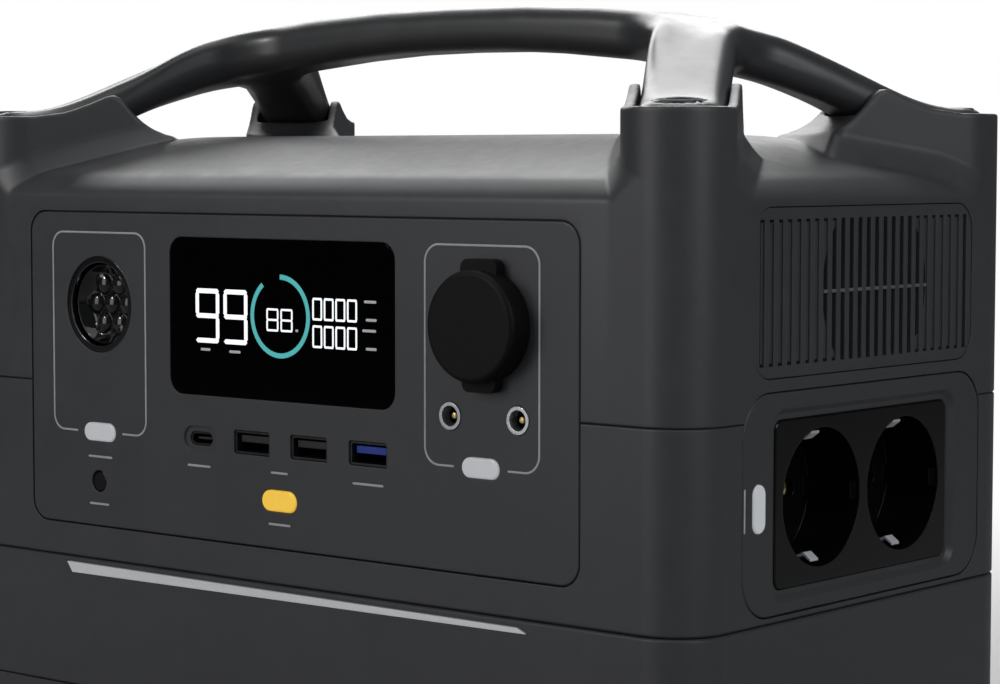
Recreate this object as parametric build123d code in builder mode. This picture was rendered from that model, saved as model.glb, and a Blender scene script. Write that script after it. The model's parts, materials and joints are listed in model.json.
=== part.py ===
"""Portable power station: a main unit on a bolted-on battery module, with a four-legged handle.

The body is centred on the Z axis and stands on Z = 0. The front panel faces -Y, the mains
outlets are on the right (+X) and the charging inputs on the left (-X). Millimetres.
Each piece is written to parts/NAME.step.
"""
from build123d import *
from itertools import pairwise
from typing import NamedTuple
import math
import os

os.makedirs("parts", exist_ok=True)


class Area(NamedTuple):
    """A rounded rectangle or slot in a sketch: centre, size and corner radius."""
    across: float
    up: float
    width: float
    height: float
    radius: float = 0.0

    def grown(self, extra, extra_height=None, radius=None):
        """The area with its full width and height increased; the corner follows the width."""
        return Area(
            self.across,
            self.up,
            self.width + extra,
            self.height + (extra if extra_height is None else extra_height),
            self.radius + extra / 2 if radius is None else radius,
        )


# ================================================================ driving dimensions
W, D, H = 298.0, 168.0, 235.0       # overall width, depth, height
R = 15.5                            # vertical corner radius
WALL = 4.0                          # shell wall

Z_FOOT = 0.0                        # underside of the base plate
Z_BASE = 20.5                       # seam between base plate and module shell
Z_MODULE = 62.0                     # seam between battery module and main unit
Z_SPLIT = 117.4                     # seam between lower and upper shell
Z_SHOULDER = 176.0                  # top of the vertical side walls
Z_CREASE = 183.4                    # edge of the lid
Z_CROWN = 195.2                     # flat crown of the lid
SHOULDER_IN = 8.0                   # how far the lid edge sits inside the walls
CROWN_IN = 50.0                     # how far the crown sits inside the walls
MODULE_SEAM = 0.15                  # half gap at the base and module seams
SPLIT_SEAM = 0.1                    # half gap at the split
OVERCUT = 1.0                       # how far a cut starts outside the face it enters

# corner posts and handle legs in plan
POST_X, POST_Y, POST_R = 133.5, 68.5, 15.3
EAR_WALL = 2.8
EAR_LEN = 43.5
JUNCTION_X = 90.0                   # where the legs meet the handle bar
HANDLE_W = 24.4
LEG_LEN = math.hypot(POST_X - JUNCTION_X, POST_Y)
CORNERS = [(1, 1), (1, -1), (-1, 1), (-1, -1)]
POSTS = [(sx * POST_X, sy * POST_Y) for sx, sy in CORNERS]
MODULE_BOLTS = [(112, 34), (112, -34), (-112, 34), (-112, -34)]

# front face, (x, z)
PANEL = Area(0.75, 122.05, 223.5, 98.5, 6.5)
PANEL_OPENING = PANEL.grown(-6, radius=4.0)
PANEL_T = 2.4
PANEL_SINK = 2.6                    # depth of the rebate the panel sits in

# side faces, (y, z)
GRILLE = Area(1.45, 151.9, 113.5, 46.0, 8.0)
GRILLE_OPENING = GRILLE.grown(-6)
TRAY = Area(1.6, 94.55, 123.2, 60.7, 12.0)
TRAY_OPENING = TRAY.grown(-6, -5.2, radius=9.0)
SIDE_SINK = 2.6                     # depth of the rebates in the sides
SIDE_T = 2.5                        # thickness of the tray panels
PLUG_FIT = 0.6                      # how much smaller a panel's back is than its opening
PLUG_T = 3.5                        # thickness of a tray panel's back

# battery cells
CELL_R, CELL_L, CELL_PITCH = 9.1, 65.0, 19.0
CELL_BORE = CELL_R + 0.15
HOLDER_T = 6.0


# ================================================================ planes and sketch helpers
def upright(y):
    """Plane at Y = y: sketch x is X, sketch y is Z, normal -Y."""
    return Plane(origin=(0, y, 0), x_dir=(1, 0, 0), z_dir=(0, -1, 0))


def front(depth):
    """Upright plane at a depth behind the front face; a negative extrude goes inward."""
    return upright(-D / 2 + depth)


def side(x):
    """Plane at X = x: sketch x is Y, sketch y is Z, normal +X."""
    return Plane(origin=(x, 0, 0), x_dir=(0, 1, 0), z_dir=(1, 0, 0))


def right(depth):
    """Side plane at a depth inside the right face; its normal points outward."""
    return side(W / 2 - depth)


def left(depth):
    """Side plane at a depth inside the left face; its normal points inward."""
    return side(-W / 2 + depth)


def level(z):
    return Plane.XY.offset(z)


def leg_direction(sx, sy):
    """Unit vector in plan from a post towards the junction."""
    return Vector(-sx * (POST_X - JUNCTION_X), -sy * POST_Y, 0).normalized()


def leg_plane(sx, sy):
    """Vertical plane through a leg: sketch x runs from post to junction, sketch y is Z."""
    along = leg_direction(sx, sy)
    normal = along.cross(Vector(0, 0, 1))
    return Plane(origin=(sx * POST_X, sy * POST_Y, 0), x_dir=along, z_dir=normal)


def post_plane(sx, sy, z):
    """Level plane centred on a post: sketch x runs along its leg."""
    return Plane(
        origin=(sx * POST_X, sy * POST_Y, z), x_dir=leg_direction(sx, sy), z_dir=(0, 0, 1)
    )


def leg_location(sx, sy):
    """Location at a post in a plan sketch, turned along its leg."""
    along = leg_direction(sx, sy)
    heading = math.degrees(math.atan2(along.Y, along.X))
    return Location((sx * POST_X, sy * POST_Y, 0), (0, 0, heading))


# The helpers below draw in the sketch that is open where they are called.
def outline(inset=0.0, radius=None, mode=Mode.ADD):
    """Plan of the body, inset from the walls."""
    corner = R - inset if radius is None else radius
    RectangleRounded(W - 2 * inset, D - 2 * inset, corner, mode=mode)


def rounded(area, mode=Mode.ADD):
    with Locations((area.across, area.up)):
        RectangleRounded(area.width, area.height, area.radius, mode=mode)


def slot(area, extra=0.0, mode=Mode.ADD):
    """Round-ended slot that fills an area along its longer side."""
    length, breadth = max(area.width, area.height), min(area.width, area.height)
    turn = 90 if area.height > area.width else 0
    with Locations((area.across, area.up)):
        SlotOverall(length + extra, breadth + extra, rotation=turn, mode=mode)


def circles(spots, radius, mode=Mode.ADD):
    with Locations(*spots):
        Circle(radius, mode=mode)


def rings(spots, outer, inner):
    circles(spots, outer)
    circles(spots, inner, Mode.SUBTRACT)


def rectangles(spots, width, height):
    with Locations(*spots):
        Rectangle(width, height)


def cell_circles(z, columns, rows, radius, mode=Mode.ADD):
    with Locations((0, z)):
        with GridLocations(CELL_PITCH, CELL_PITCH, columns, rows):
            Circle(radius, mode=mode)


def piece(builder, name):
    builder.part.label = name
    export_step(builder.part, f"parts/{name}.step")


def upward_screws(name, spots, head_z, head_r, head_height, tip_z, socket_r):
    """Screws driven from below, each with a hexagonal socket in its head."""
    shank_z = head_z + head_height - 0.1
    with BuildPart() as screws:
        with BuildSketch(level(head_z)):
            circles(spots, head_r)
        extrude(amount=head_height)
        with BuildSketch(level(shank_z)):
            circles(spots, 2.0)
        extrude(amount=tip_z - shank_z)
        with BuildSketch(level(head_z)):
            with Locations(*spots):
                RegularPolygon(socket_r, 6)
        extrude(amount=2.2, mode=Mode.SUBTRACT)
    piece(screws, name)


# ================================================================ battery module
FLOOR_T = 3.0                       # base plate floor
BOLT_CLEAR_R = 2.3
FOOT_PAD = Area(0, 0, 26.0, 16.0, 7.8)
FOOT_PITCH = (220, 104)
CONNECTOR = Area(0, 0, 40.0, 12.0, 1.6)
CONNECTOR_OPENING = Area(0, 0, 41.0, 13.0, 2.0)
MODULE_CELL_Z = 31.0
MODULE_GRID = (10, 2)               # columns, rows of cells

# accent strip below the module seam and its seat, (x, z)
STRIP_SEAT = [(-95.4, 60.4), (-92.6, 56.6), (95.4, 58.0), (91.0, 59.9)]
STRIP = [(-94.9, 60.15), (-92.4, 56.9), (94.2, 58.25), (90.9, 59.65)]

with BuildPart() as base_plate:
    with BuildSketch(level(Z_FOOT)):
        outline(0.5)
    extrude(amount=Z_BASE - MODULE_SEAM - Z_FOOT)
    chamfer(base_plate.faces().sort_by(Axis.Z)[0].edges(), 2.0)
    with BuildSketch(level(Z_FOOT + FLOOR_T)):
        outline(WALL)
    extrude(amount=Z_BASE, mode=Mode.SUBTRACT)
    # bolt bosses, clearance holes and counterbores
    with BuildSketch(level(Z_FOOT + FLOOR_T)):
        circles(MODULE_BOLTS, 7.0)
    extrude(amount=7.0)
    for hole_r, depth in ((BOLT_CLEAR_R, 20), (4.3, 5.0)):
        with BuildSketch(level(Z_FOOT)):
            circles(MODULE_BOLTS, hole_r)
        extrude(amount=depth, mode=Mode.SUBTRACT)
    # seats for the rubber feet
    with BuildSketch(level(Z_FOOT)):
        with GridLocations(*FOOT_PITCH, 2, 2):
            rounded(FOOT_PAD.grown(0.4))
    extrude(amount=1.5, mode=Mode.SUBTRACT)
piece(base_plate, "base_plate")

# pads inlaid flush with the underside
with BuildPart() as rubber_feet:
    with BuildSketch(level(Z_FOOT)):
        with GridLocations(*FOOT_PITCH, 2, 2):
            rounded(FOOT_PAD)
    extrude(amount=1.4)
piece(rubber_feet, "rubber_feet")

with BuildPart() as module_shell:
    with BuildSketch(level(Z_BASE + MODULE_SEAM)):
        outline()
    extrude(amount=Z_MODULE - Z_BASE - 2 * MODULE_SEAM)
    chamfer(module_shell.faces().sort_by(Axis.Z)[0].edges(), 0.6)
    chamfer(module_shell.faces().sort_by(Axis.Z)[-1].edges(), 0.6)
    with BuildSketch(level(Z_BASE)):
        outline(WALL)
    extrude(amount=Z_MODULE - 5.0 - Z_BASE, mode=Mode.SUBTRACT)
    # bolt holes and the connector opening in the top wall
    with BuildSketch(level(Z_MODULE - 8)):
        circles(MODULE_BOLTS, BOLT_CLEAR_R)
        rounded(CONNECTOR_OPENING)
    extrude(amount=12, mode=Mode.SUBTRACT)
    # seat for the accent strip
    with BuildSketch(front(-OVERCUT)):
        with BuildLine():
            Polyline(*STRIP_SEAT, close=True)
        make_face()
    extrude(amount=-OVERCUT - 1.8, mode=Mode.SUBTRACT)
piece(module_shell, "module_shell")

with BuildPart() as accent_strip:
    with BuildSketch(front(-0.35)):
        with BuildLine():
            Polyline(*STRIP, close=True)
        make_face()
    extrude(amount=-2.0)
piece(accent_strip, "accent_strip")

with BuildPart() as module_cells:
    with BuildSketch(upright(-CELL_L / 2)):
        cell_circles(MODULE_CELL_Z, *MODULE_GRID, CELL_R)
    extrude(amount=-CELL_L)
piece(module_cells, "module_cells")

with BuildPart() as module_cell_holders:
    for y in (-CELL_L / 2 + 3, CELL_L / 2 - 3 - HOLDER_T):
        with BuildSketch(upright(y)):
            rounded(Area(0, MODULE_CELL_Z, 10 * CELL_PITCH + 4, 2 * CELL_PITCH + 4, 4))
            cell_circles(MODULE_CELL_Z, *MODULE_GRID, CELL_BORE, Mode.SUBTRACT)
        extrude(amount=-HOLDER_T)
piece(module_cell_holders, "module_cell_holders")

MODULE_BOARD = Area(0, 56, 170, 36, 3)          # in plan
MODULE_BOARD_Z, BOARD_T = 20.0, 1.6
with BuildPart() as module_board:
    with BuildSketch(level(MODULE_BOARD_Z)):
        rounded(MODULE_BOARD)
    extrude(amount=BOARD_T)
    # row of components
    with BuildSketch(level(MODULE_BOARD_Z + BOARD_T)):
        with Locations((MODULE_BOARD.across, MODULE_BOARD.up)):
            with GridLocations(24, 18, 6, 1):
                Rectangle(12, 9)
    extrude(amount=6)
piece(module_board, "module_board")

upward_screws("module_bolts", MODULE_BOLTS, head_z=Z_FOOT + 1.0, head_r=4.0,
              head_height=3.9, tip_z=Z_MODULE + 9, socket_r=2.3)

with BuildPart() as module_connector:
    with BuildSketch(level(Z_MODULE - 8.4)):
        rounded(CONNECTOR)
    extrude(amount=11.8)
    # contact slots
    with BuildSketch(level(Z_MODULE - 2)):
        with GridLocations(6.0, 5.0, 6, 2):
            Rectangle(3.0, 1.2)
    extrude(amount=8.0, mode=Mode.SUBTRACT)
piece(module_connector, "module_connector")

# ================================================================ main shells
COLUMN_R = 6.5                      # screw columns below the posts
PILOT_R = 2.1
LIP_IN = 2.3                        # outer face of the lap lip, in from the walls


def side_cuts(opening, rebate):
    """Opening through both sides and a rebate in each, as (plane, area, extrusion)."""
    depth = OVERCUT + SIDE_SINK
    return [
        (left(-OVERCUT), opening, W + 2 * OVERCUT),
        (left(-OVERCUT), rebate, depth),
        (right(SIDE_SINK), rebate, depth),
    ]


PANEL_CUTS = [
    (front(-OVERCUT), PANEL_OPENING, -12),
    (front(-OVERCUT), PANEL.grown(0.8), -OVERCUT - PANEL_SINK),
]
TRAY_CUTS = side_cuts(TRAY_OPENING, TRAY.grown(0.8))
GRILLE_CUTS = side_cuts(GRILLE_OPENING, GRILLE.grown(0.6))

with BuildPart() as lower_shell:
    with BuildSketch(level(Z_MODULE + MODULE_SEAM)):
        outline()
    extrude(amount=Z_SPLIT - SPLIT_SEAM - Z_MODULE - MODULE_SEAM)
    chamfer(lower_shell.faces().sort_by(Axis.Z)[0].edges(), 0.6)
    chamfer(lower_shell.faces().sort_by(Axis.Z)[-1].edges(), 0.4)
    with BuildSketch(level(Z_MODULE + 3.2)):
        outline(WALL)
    extrude(amount=80, mode=Mode.SUBTRACT)
    # lap lip that locates the upper shell
    with BuildSketch(level(Z_SPLIT - 3)):
        outline(LIP_IN)
        outline(WALL, mode=Mode.SUBTRACT)
    extrude(amount=5.5)
    # corner screw columns and module bolt bosses
    with BuildSketch(level(Z_MODULE + 1)):
        circles(POSTS, COLUMN_R)
    extrude(amount=Z_SPLIT - SPLIT_SEAM - Z_MODULE - 1)
    with BuildSketch(level(Z_MODULE + 1)):
        circles(MODULE_BOLTS, 5.0)
    extrude(amount=14)
    for spots, depth in ((MODULE_BOLTS, 12.5), (POSTS, 80)):
        with BuildSketch(level(Z_MODULE)):
            circles(spots, PILOT_R)
        extrude(amount=depth, mode=Mode.SUBTRACT)
    # screw head counterbores and the connector opening
    with BuildSketch(level(Z_MODULE)):
        circles(POSTS, 4.0)
        rounded(CONNECTOR_OPENING)
    extrude(amount=5.5, mode=Mode.SUBTRACT)
    for plane, area, amount in PANEL_CUTS + TRAY_CUTS:
        with BuildSketch(plane):
            rounded(area)
        extrude(amount=amount, mode=Mode.SUBTRACT)
piece(lower_shell, "lower_shell")

# handle in elevation, (x, z): right half of the upper and lower lines, mirrored to the left
FOOT_Z = 190.2                      # underside of the handle's feet
FOOT_X = 130                        # inner end of the feet
TIP_X, TIP_Z = 154, 194             # outer end of the arch
HALF_TOP = [
    (TIP_X, TIP_Z), (145.5, 199.5), (133.5, 204.2), (126.9, 207.0), (115, 214.4),
    (109.2, 219.0), (103.3, 223.4), (95, 227.8), (86, 230.2), (60, 232.8), (30, 234.6), (0, H),
]
HALF_UNDER = [
    (FOOT_X, FOOT_Z), (117, 199.6), (110.2, 204.9), (99.4, 211.3), (90, 214.9),
    (72, 217.3), (45, 219.9), (22, 221.3), (0, 221.6),
]
ARCH_TOP = HALF_TOP + [(-x, z) for x, z in HALF_TOP[-2::-1]]
ARCH_UNDER = HALF_UNDER + [(-x, z) for x, z in HALF_UNDER[-2::-1]]

# room left in the posts for the handle's legs, down to just below the arch
LEG_FIT = 0.4
TROUGH_Z = FOOT_Z - LEG_FIT
TROUGH_R = POST_R - EAR_WALL
with BuildPart() as leg_troughs:
    for sx, sy in CORNERS:
        with BuildSketch(post_plane(sx, sy, Z_CREASE)):
            Circle(TROUGH_R)
            with Locations((26, 0)):
                Rectangle(52, 2 * TROUGH_R)
        extrude(amount=60)
    with BuildSketch(Plane.XZ):
        with BuildLine():
            Spline(*[(x, z - LEG_FIT) for x, z in ARCH_UNDER])
            Polyline(
                (FOOT_X, TROUGH_Z), (160, TROUGH_Z), (160, 245),
                (-160, 245), (-160, TROUGH_Z), (-FOOT_X, TROUGH_Z),
            )
        make_face()
    extrude(amount=100, both=True, mode=Mode.INTERSECT)

# side view of a post and its ear: (distance along the leg, z)
EAR_FOOT_Z = Z_SHOULDER - 8
EAR_PROFILE = [
    (EAR_LEN + 2, EAR_FOOT_Z), (EAR_LEN + 2, 195.0), (EAR_LEN, 195.1), (41, 196.1),
    (36.4, 201.0), (32.5, 204.4), (29, 208.5), (25.9, 208.2), (19.7, 205.5),
    (12, 203.0), (2.3, 201.7), (-20, 201.7), (-20, EAR_FOOT_Z),
]

# corner posts, each with an ear that runs a short way along its leg
with BuildPart() as posts_and_ears:
    for sx, sy in CORNERS:
        with BuildSketch(leg_plane(sx, sy)):
            with BuildLine():
                Polyline(*EAR_PROFILE, close=True)
            make_face()
        extrude(amount=POST_R + 1, both=True)
    with BuildSketch(level(Z_SHOULDER - 10)):
        for sx, sy in CORNERS:
            with Locations(leg_location(sx, sy)):
                Circle(POST_R)
                with Locations((EAR_LEN / 2 + 1, 0)):
                    Rectangle(EAR_LEN + 2, 2 * POST_R)
    extrude(amount=60, mode=Mode.INTERSECT)

# level sections of the shoulder and lid, and of the cavity below: (z, inset, corner radius)
LID_SECTIONS = [
    (Z_SHOULDER, 0.0, R),
    (Z_SHOULDER + 4.6, 1.5, R - 1.5),
    (Z_CREASE, SHOULDER_IN, R - SHOULDER_IN + 2),
    (Z_CROWN, CROWN_IN, 22),
]
CAVITY_TOP = Z_SHOULDER - 2         # top of the straight part of the cavity
CAVITY_SECTIONS = [
    (CAVITY_TOP, WALL, R - WALL),
    (Z_CREASE - WALL, SHOULDER_IN + WALL, 9),
    (Z_CROWN - WALL, CROWN_IN, 20),
]

with BuildPart() as upper_shell:
    # vertical walls, bevelled shoulder and sloped lid
    with BuildSketch(level(Z_SPLIT + SPLIT_SEAM)):
        outline()
    extrude(amount=Z_SHOULDER - Z_SPLIT - SPLIT_SEAM)
    chamfer(upper_shell.faces().sort_by(Axis.Z)[0].edges(), 0.4)
    for sections in pairwise(LID_SECTIONS):
        for z, inset, radius in sections:
            with BuildSketch(level(z)):
                outline(inset, radius)
        loft(ruled=True)
    add(posts_and_ears.part)
    # cavity
    with BuildSketch(level(Z_SPLIT)):
        outline(WALL)
    extrude(amount=CAVITY_TOP - Z_SPLIT, mode=Mode.SUBTRACT)
    for sections in pairwise(CAVITY_SECTIONS):
        for z, inset, radius in sections:
            with BuildSketch(level(z)):
                outline(inset, radius)
        loft(ruled=True, mode=Mode.SUBTRACT)
    # screw columns below the posts
    with BuildSketch(level(Z_SPLIT + SPLIT_SEAM)):
        circles(POSTS, COLUMN_R)
    extrude(amount=Z_CREASE - 1 - Z_SPLIT)
    # troughs that take the handle legs, open towards the lid
    add(leg_troughs.part, mode=Mode.SUBTRACT)
    # lap rebate over the lower shell's lip
    with BuildSketch(level(Z_SPLIT - 1)):
        outline(LIP_IN - 0.25)
        outline(WALL + 0.25, mode=Mode.SUBTRACT)
    extrude(amount=4.0, mode=Mode.SUBTRACT)
    # screw holes: shell screws from below, handle screws from above
    for z, hole_r, height in ((Z_SPLIT, PILOT_R, 17), (166, 2.6, 60)):
        with BuildSketch(level(z)):
            circles(POSTS, hole_r)
        extrude(amount=height, mode=Mode.SUBTRACT)
    for plane, area, amount in PANEL_CUTS + TRAY_CUTS + GRILLE_CUTS:
        with BuildSketch(plane):
            rounded(area)
        extrude(amount=amount, mode=Mode.SUBTRACT)
piece(upper_shell, "upper_shell")

upward_screws("shell_screws", POSTS, head_z=Z_MODULE + 1.4, head_r=3.7,
              head_height=4.0, tip_z=Z_SPLIT + 15, socket_r=2.2)

# ================================================================ carry handle
SCREW_SEAT_Z = 197.0                # underside of the handle screw heads
CAP_SEAT_Z = 201.2                  # floor of the cap recesses
CAP_L, CAP_W = 17.6, 14.0
CAP_FIT = 0.4

with BuildPart() as handle:
    # plan: a bar that splits into four legs, round at their ends
    with BuildSketch(level(184)):
        Rectangle(2 * JUNCTION_X, HANDLE_W)
        for sx, sy in CORNERS:
            with Locations(leg_location(sx, sy)):
                with Locations((LEG_LEN / 2, 0)):
                    Rectangle(LEG_LEN, HANDLE_W)
                Circle(HANDLE_W / 2)
            with Locations((sx * JUNCTION_X, 0)):
                Circle(HANDLE_W / 2)
    extrude(amount=56)
    crotches = [
        e for e in handle.edges().filter_by(Axis.Z) if 20 < abs((e @ 0).X) < JUNCTION_X + 8
    ]
    fillet(crotches, 14)
    # elevation: the arch that the plan is cut to
    with BuildSketch(Plane.XZ):
        with BuildLine():
            Spline(*ARCH_TOP)
            Spline(*ARCH_UNDER)
            Polyline((TIP_X, TIP_Z), (TIP_X, FOOT_Z), (FOOT_X, FOOT_Z))
            Polyline((-TIP_X, TIP_Z), (-TIP_X, FOOT_Z), (-FOOT_X, FOOT_Z))
        make_face()
    extrude(amount=100, both=True, mode=Mode.INTERSECT)
    # every edge but the short ones and the upright ones
    rims = [
        e for e in handle.edges()
        if e.length > 3
        and (abs((e @ 0).X - (e @ 1).X) > 0.01 or abs((e @ 0).Y - (e @ 1).Y) > 0.01)
    ]
    fillet(rims, 5)
    # cap recess, counterbore and screw hole in each foot
    for sx, sy in CORNERS:
        with BuildSketch(post_plane(sx, sy, CAP_SEAT_Z)):
            SlotOverall(CAP_L + CAP_FIT, CAP_W + CAP_FIT)
        extrude(amount=20, mode=Mode.SUBTRACT)
    for z, hole_r, height in ((SCREW_SEAT_Z, 4.6, 12), (180, 2.7, 25)):
        with BuildSketch(level(z)):
            circles(POSTS, hole_r)
        extrude(amount=height, mode=Mode.SUBTRACT)
piece(handle, "handle")

with BuildPart() as handle_screws:
    for z, radius, height in ((SCREW_SEAT_Z, 4.3, 3.6), (168, 2.5, 29.2)):
        with BuildSketch(level(z)):
            circles(POSTS, radius)
        extrude(amount=height)
    with BuildSketch(level(SCREW_SEAT_Z + 1.4)):
        with Locations(*POSTS):
            RegularPolygon(2.4, 6)
    extrude(amount=5, mode=Mode.SUBTRACT)
piece(handle_screws, "handle_screws")

with BuildPart() as post_caps:
    for sx, sy in CORNERS:
        with BuildSketch(post_plane(sx, sy, CAP_SEAT_Z + 0.1)):
            SlotOverall(CAP_L, CAP_W)
        extrude(amount=2.2)
    chamfer(post_caps.faces().filter_by(Axis.Z).group_by(Axis.Z)[-1].edges(), 0.5)
piece(post_caps, "post_caps")

# ================================================================ front panel
# places on the front face, (x, z)
WINDOW = Area(-0.4, 140.5, 92.3, 47.3, 5.0)
LAMP, LAMP_R = (-79.0, 142.5), 14.9
SLOT_BUTTONS = {
    "light_button": Area(-79.0, 102.4, 14.2, 5.7),
    "usb_power_button": Area(-0.2, 87.0, 14.0, 6.2),
    "dc_button": Area(77.8, 102.6, 13.4, 5.7),
}
RESET_BUTTON, RESET_R = (-79.6, 86.9), 3.25
BUTTON_FIT = 0.2                    # clearance all round a button
BUTTON_EDGE = 0.6                   # rounding of the buttons' outer edges
USB_C = Area(-33.7, 103.35, 9.1, 3.4)
USB_C_DISH = USB_C._replace(width=14.2, height=7.4)
USB_A = [(-11.7, 103.5), (11.8, 103.5)]
USB_FAST = (35.4, 103.5)
USB_PORTS = [*USB_A, USB_FAST]
USB_W, USB_H = 14.6, 6.8
CAR = (80.0, 142.2)
DC_JACKS = [(66.7, 116.5), (91.2, 116.7)]
BOARD_HOLES = [(-103, 80), (104, 80), (-103, 164), (104, 164)]
MAIN_BOARD_IN = 16.3                # depth of the main board's front behind the front face

with BuildPart() as front_panel:
    with BuildSketch(front(0)):
        rounded(PANEL)
    extrude(amount=-PANEL_T)
    chamfer(front_panel.faces().sort_by(Axis.Y)[0].edges(), 0.35)
    # standoffs for the main board
    with BuildSketch(front(PANEL_T - 0.2)):
        circles(BOARD_HOLES, 3.2)
    extrude(amount=-(16.2 - PANEL_T))
    with BuildSketch(front(PANEL_T)):
        circles(BOARD_HOLES, 1.3)
    extrude(amount=-20, mode=Mode.SUBTRACT)
    with BuildSketch(front(-OVERCUT)):
        rounded(WINDOW.grown(0.5))
        circles([LAMP], LAMP_R + 0.2)
        for button in SLOT_BUTTONS.values():
            slot(button, 2 * BUTTON_FIT)
        circles([RESET_BUTTON], RESET_R + BUTTON_FIT)
        slot(USB_C, 0.8)
        with Locations(*USB_PORTS):
            RectangleRounded(USB_W + 0.4, USB_H + 0.4, 0.8)
        circles([CAR], 13.7)
        circles(DC_JACKS, 4.1)
    extrude(amount=-5, mode=Mode.SUBTRACT)
    # shallow dish around the USB-C port
    with BuildSketch(front(-0.5)):
        slot(USB_C_DISH)
    extrude(amount=-1.1, mode=Mode.SUBTRACT)
piece(front_panel, "front_panel")

with BuildPart() as display_window:
    with BuildSketch(front(0.05)):
        rounded(WINDOW)
    extrude(amount=-2.2)
    chamfer(display_window.faces().sort_by(Axis.Y)[0].edges(), 0.3)
piece(display_window, "display_window")

with BuildPart() as lcd_module:
    with BuildSketch(front(PANEL_T + 0.1)):
        rounded(WINDOW._replace(width=98, height=52, radius=1.0))
    extrude(amount=-5.0)
    # bar on the back
    with BuildSketch(front(PANEL_T + 5.0)):
        rectangles([(WINDOW.across, WINDOW.up)], 70, 8)
    extrude(amount=-6.0)
piece(lcd_module, "lcd_module")

# ---------------------------------------------------------------- lamp
# level half-section plane: sketch x is the radius, sketch y the depth behind the front face
LAMP_PLANE = Plane(origin=(LAMP[0], -D / 2, LAMP[1]), x_dir=(1, 0, 0), z_dir=(0, 0, 1))
LAMP_AXIS = Axis((LAMP[0], 0, LAMP[1]), (0, 1, 0))
REFLECTOR_PROFILE = [
    (13.1, 0.3), (LAMP_R, 0.3), (LAMP_R, 12.8), (4.2, 12.8), (4.2, 11.4),
    (7.9, 10.4), (11.2, 7.8), (12.9, 4.6),
]
LENS_PROFILE = [(0, 1.8), (5, 2.1), (9, 2.8), (12.5, 3.6), (12.5, 4.4), (0, 4.4)]

with BuildPart() as lamp_reflector:
    with BuildSketch(LAMP_PLANE):
        with BuildLine():
            Polyline(*REFLECTOR_PROFILE, close=True)
        make_face()
    revolve(axis=LAMP_AXIS)
piece(lamp_reflector, "lamp_reflector")

with BuildPart() as lamp_lens:
    with BuildSketch(LAMP_PLANE):
        with BuildLine():
            Polyline(*LENS_PROFILE, close=True)
        make_face()
    revolve(axis=LAMP_AXIS)
piece(lamp_lens, "lamp_lens")

with BuildPart() as lamp_led_board:
    with BuildSketch(front(13)):
        circles([LAMP], 14.2)
    extrude(amount=-BOARD_T)
    # LED, facing forward
    with BuildSketch(front(13)):
        rounded(Area(*LAMP, 5.4, 5.4, 0.5))
    extrude(amount=1.6)
piece(lamp_led_board, "lamp_led_board")

# ---------------------------------------------------------------- buttons
for name, button in SLOT_BUTTONS.items():
    with BuildPart() as slot_button:
        with BuildSketch(front(-0.5)):
            slot(button)
        extrude(amount=-6.5)
        fillet(slot_button.faces().sort_by(Axis.Y)[0].edges(), BUTTON_EDGE)
    piece(slot_button, name)

with BuildPart() as reset_button:
    with BuildSketch(front(0.3)):
        circles([RESET_BUTTON], RESET_R)
    extrude(amount=-5.7)
    fillet(reset_button.faces().sort_by(Axis.Y)[0].edges(), BUTTON_EDGE)
piece(reset_button, "reset_button")

SWITCH_SIZE, SWITCH_STEM_R = 6.0, 1.7
SWITCH_SPOTS = [(b.across, b.up) for b in SLOT_BUTTONS.values()] + [RESET_BUTTON]
with BuildPart() as button_switches:
    with BuildSketch(front(9.5)):
        rectangles(SWITCH_SPOTS, SWITCH_SIZE, SWITCH_SIZE)
    extrude(amount=-6.4)
    with BuildSketch(front(7.2)):
        circles(SWITCH_SPOTS, SWITCH_STEM_R)
    extrude(amount=-4)
piece(button_switches, "button_switches")

# ---------------------------------------------------------------- USB ports
with BuildPart() as usb_c_shell:
    with BuildSketch(front(1)):
        slot(USB_C, 0.4)
        slot(USB_C, -0.4, Mode.SUBTRACT)
    extrude(amount=-9.0)
    with BuildSketch(front(9.8)):
        slot(USB_C, 0.4)
    extrude(amount=-6.0)
piece(usb_c_shell, "usb_c_shell")

with BuildPart() as usb_c_tongue:
    with BuildSketch(front(2.4)):
        rectangles([(USB_C.across, USB_C.up)], 6.6, 0.75)
    extrude(amount=-7.2)
piece(usb_c_tongue, "usb_c_tongue")

with BuildPart() as usb_a_shells:
    with BuildSketch(front(0.5)):
        with Locations(*USB_PORTS):
            RectangleRounded(USB_W, USB_H, 0.6)
            RectangleRounded(USB_W - 1.2, USB_H - 1.2, 0.3, mode=Mode.SUBTRACT)
    extrude(amount=-12.0)
    with BuildSketch(front(12.4)):
        with Locations(*USB_PORTS):
            RectangleRounded(USB_W, USB_H, 0.6)
    extrude(amount=-3.4)
piece(usb_a_shells, "usb_a_shells")

# the tongues sit above the middle of their ports
for name, ports in (("usb_a_tongues", USB_A), ("usb_fast_tongue", [USB_FAST])):
    with BuildPart() as tongues:
        with BuildSketch(front(1.6)):
            rectangles([(x, z + 1.0) for x, z in ports], 11.6, 2.1)
        extrude(amount=-10.7)
    piece(tongues, name)

# ---------------------------------------------------------------- car socket
BARREL_R = 13.4
with BuildPart() as car_socket_barrel:
    with BuildSketch(front(0.1)):
        rings([CAR], BARREL_R, 10.5)
    extrude(amount=-42.0)
    # end wall
    with BuildSketch(front(39.0)):
        rings([CAR], BARREL_R, 3.2)
    extrude(amount=-3.1)
    # flange behind the panel
    with BuildSketch(front(PANEL_T + 0.1)):
        rings([CAR], 17.0, 13.0)
    extrude(amount=-2.0)
piece(car_socket_barrel, "car_socket_barrel")

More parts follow.
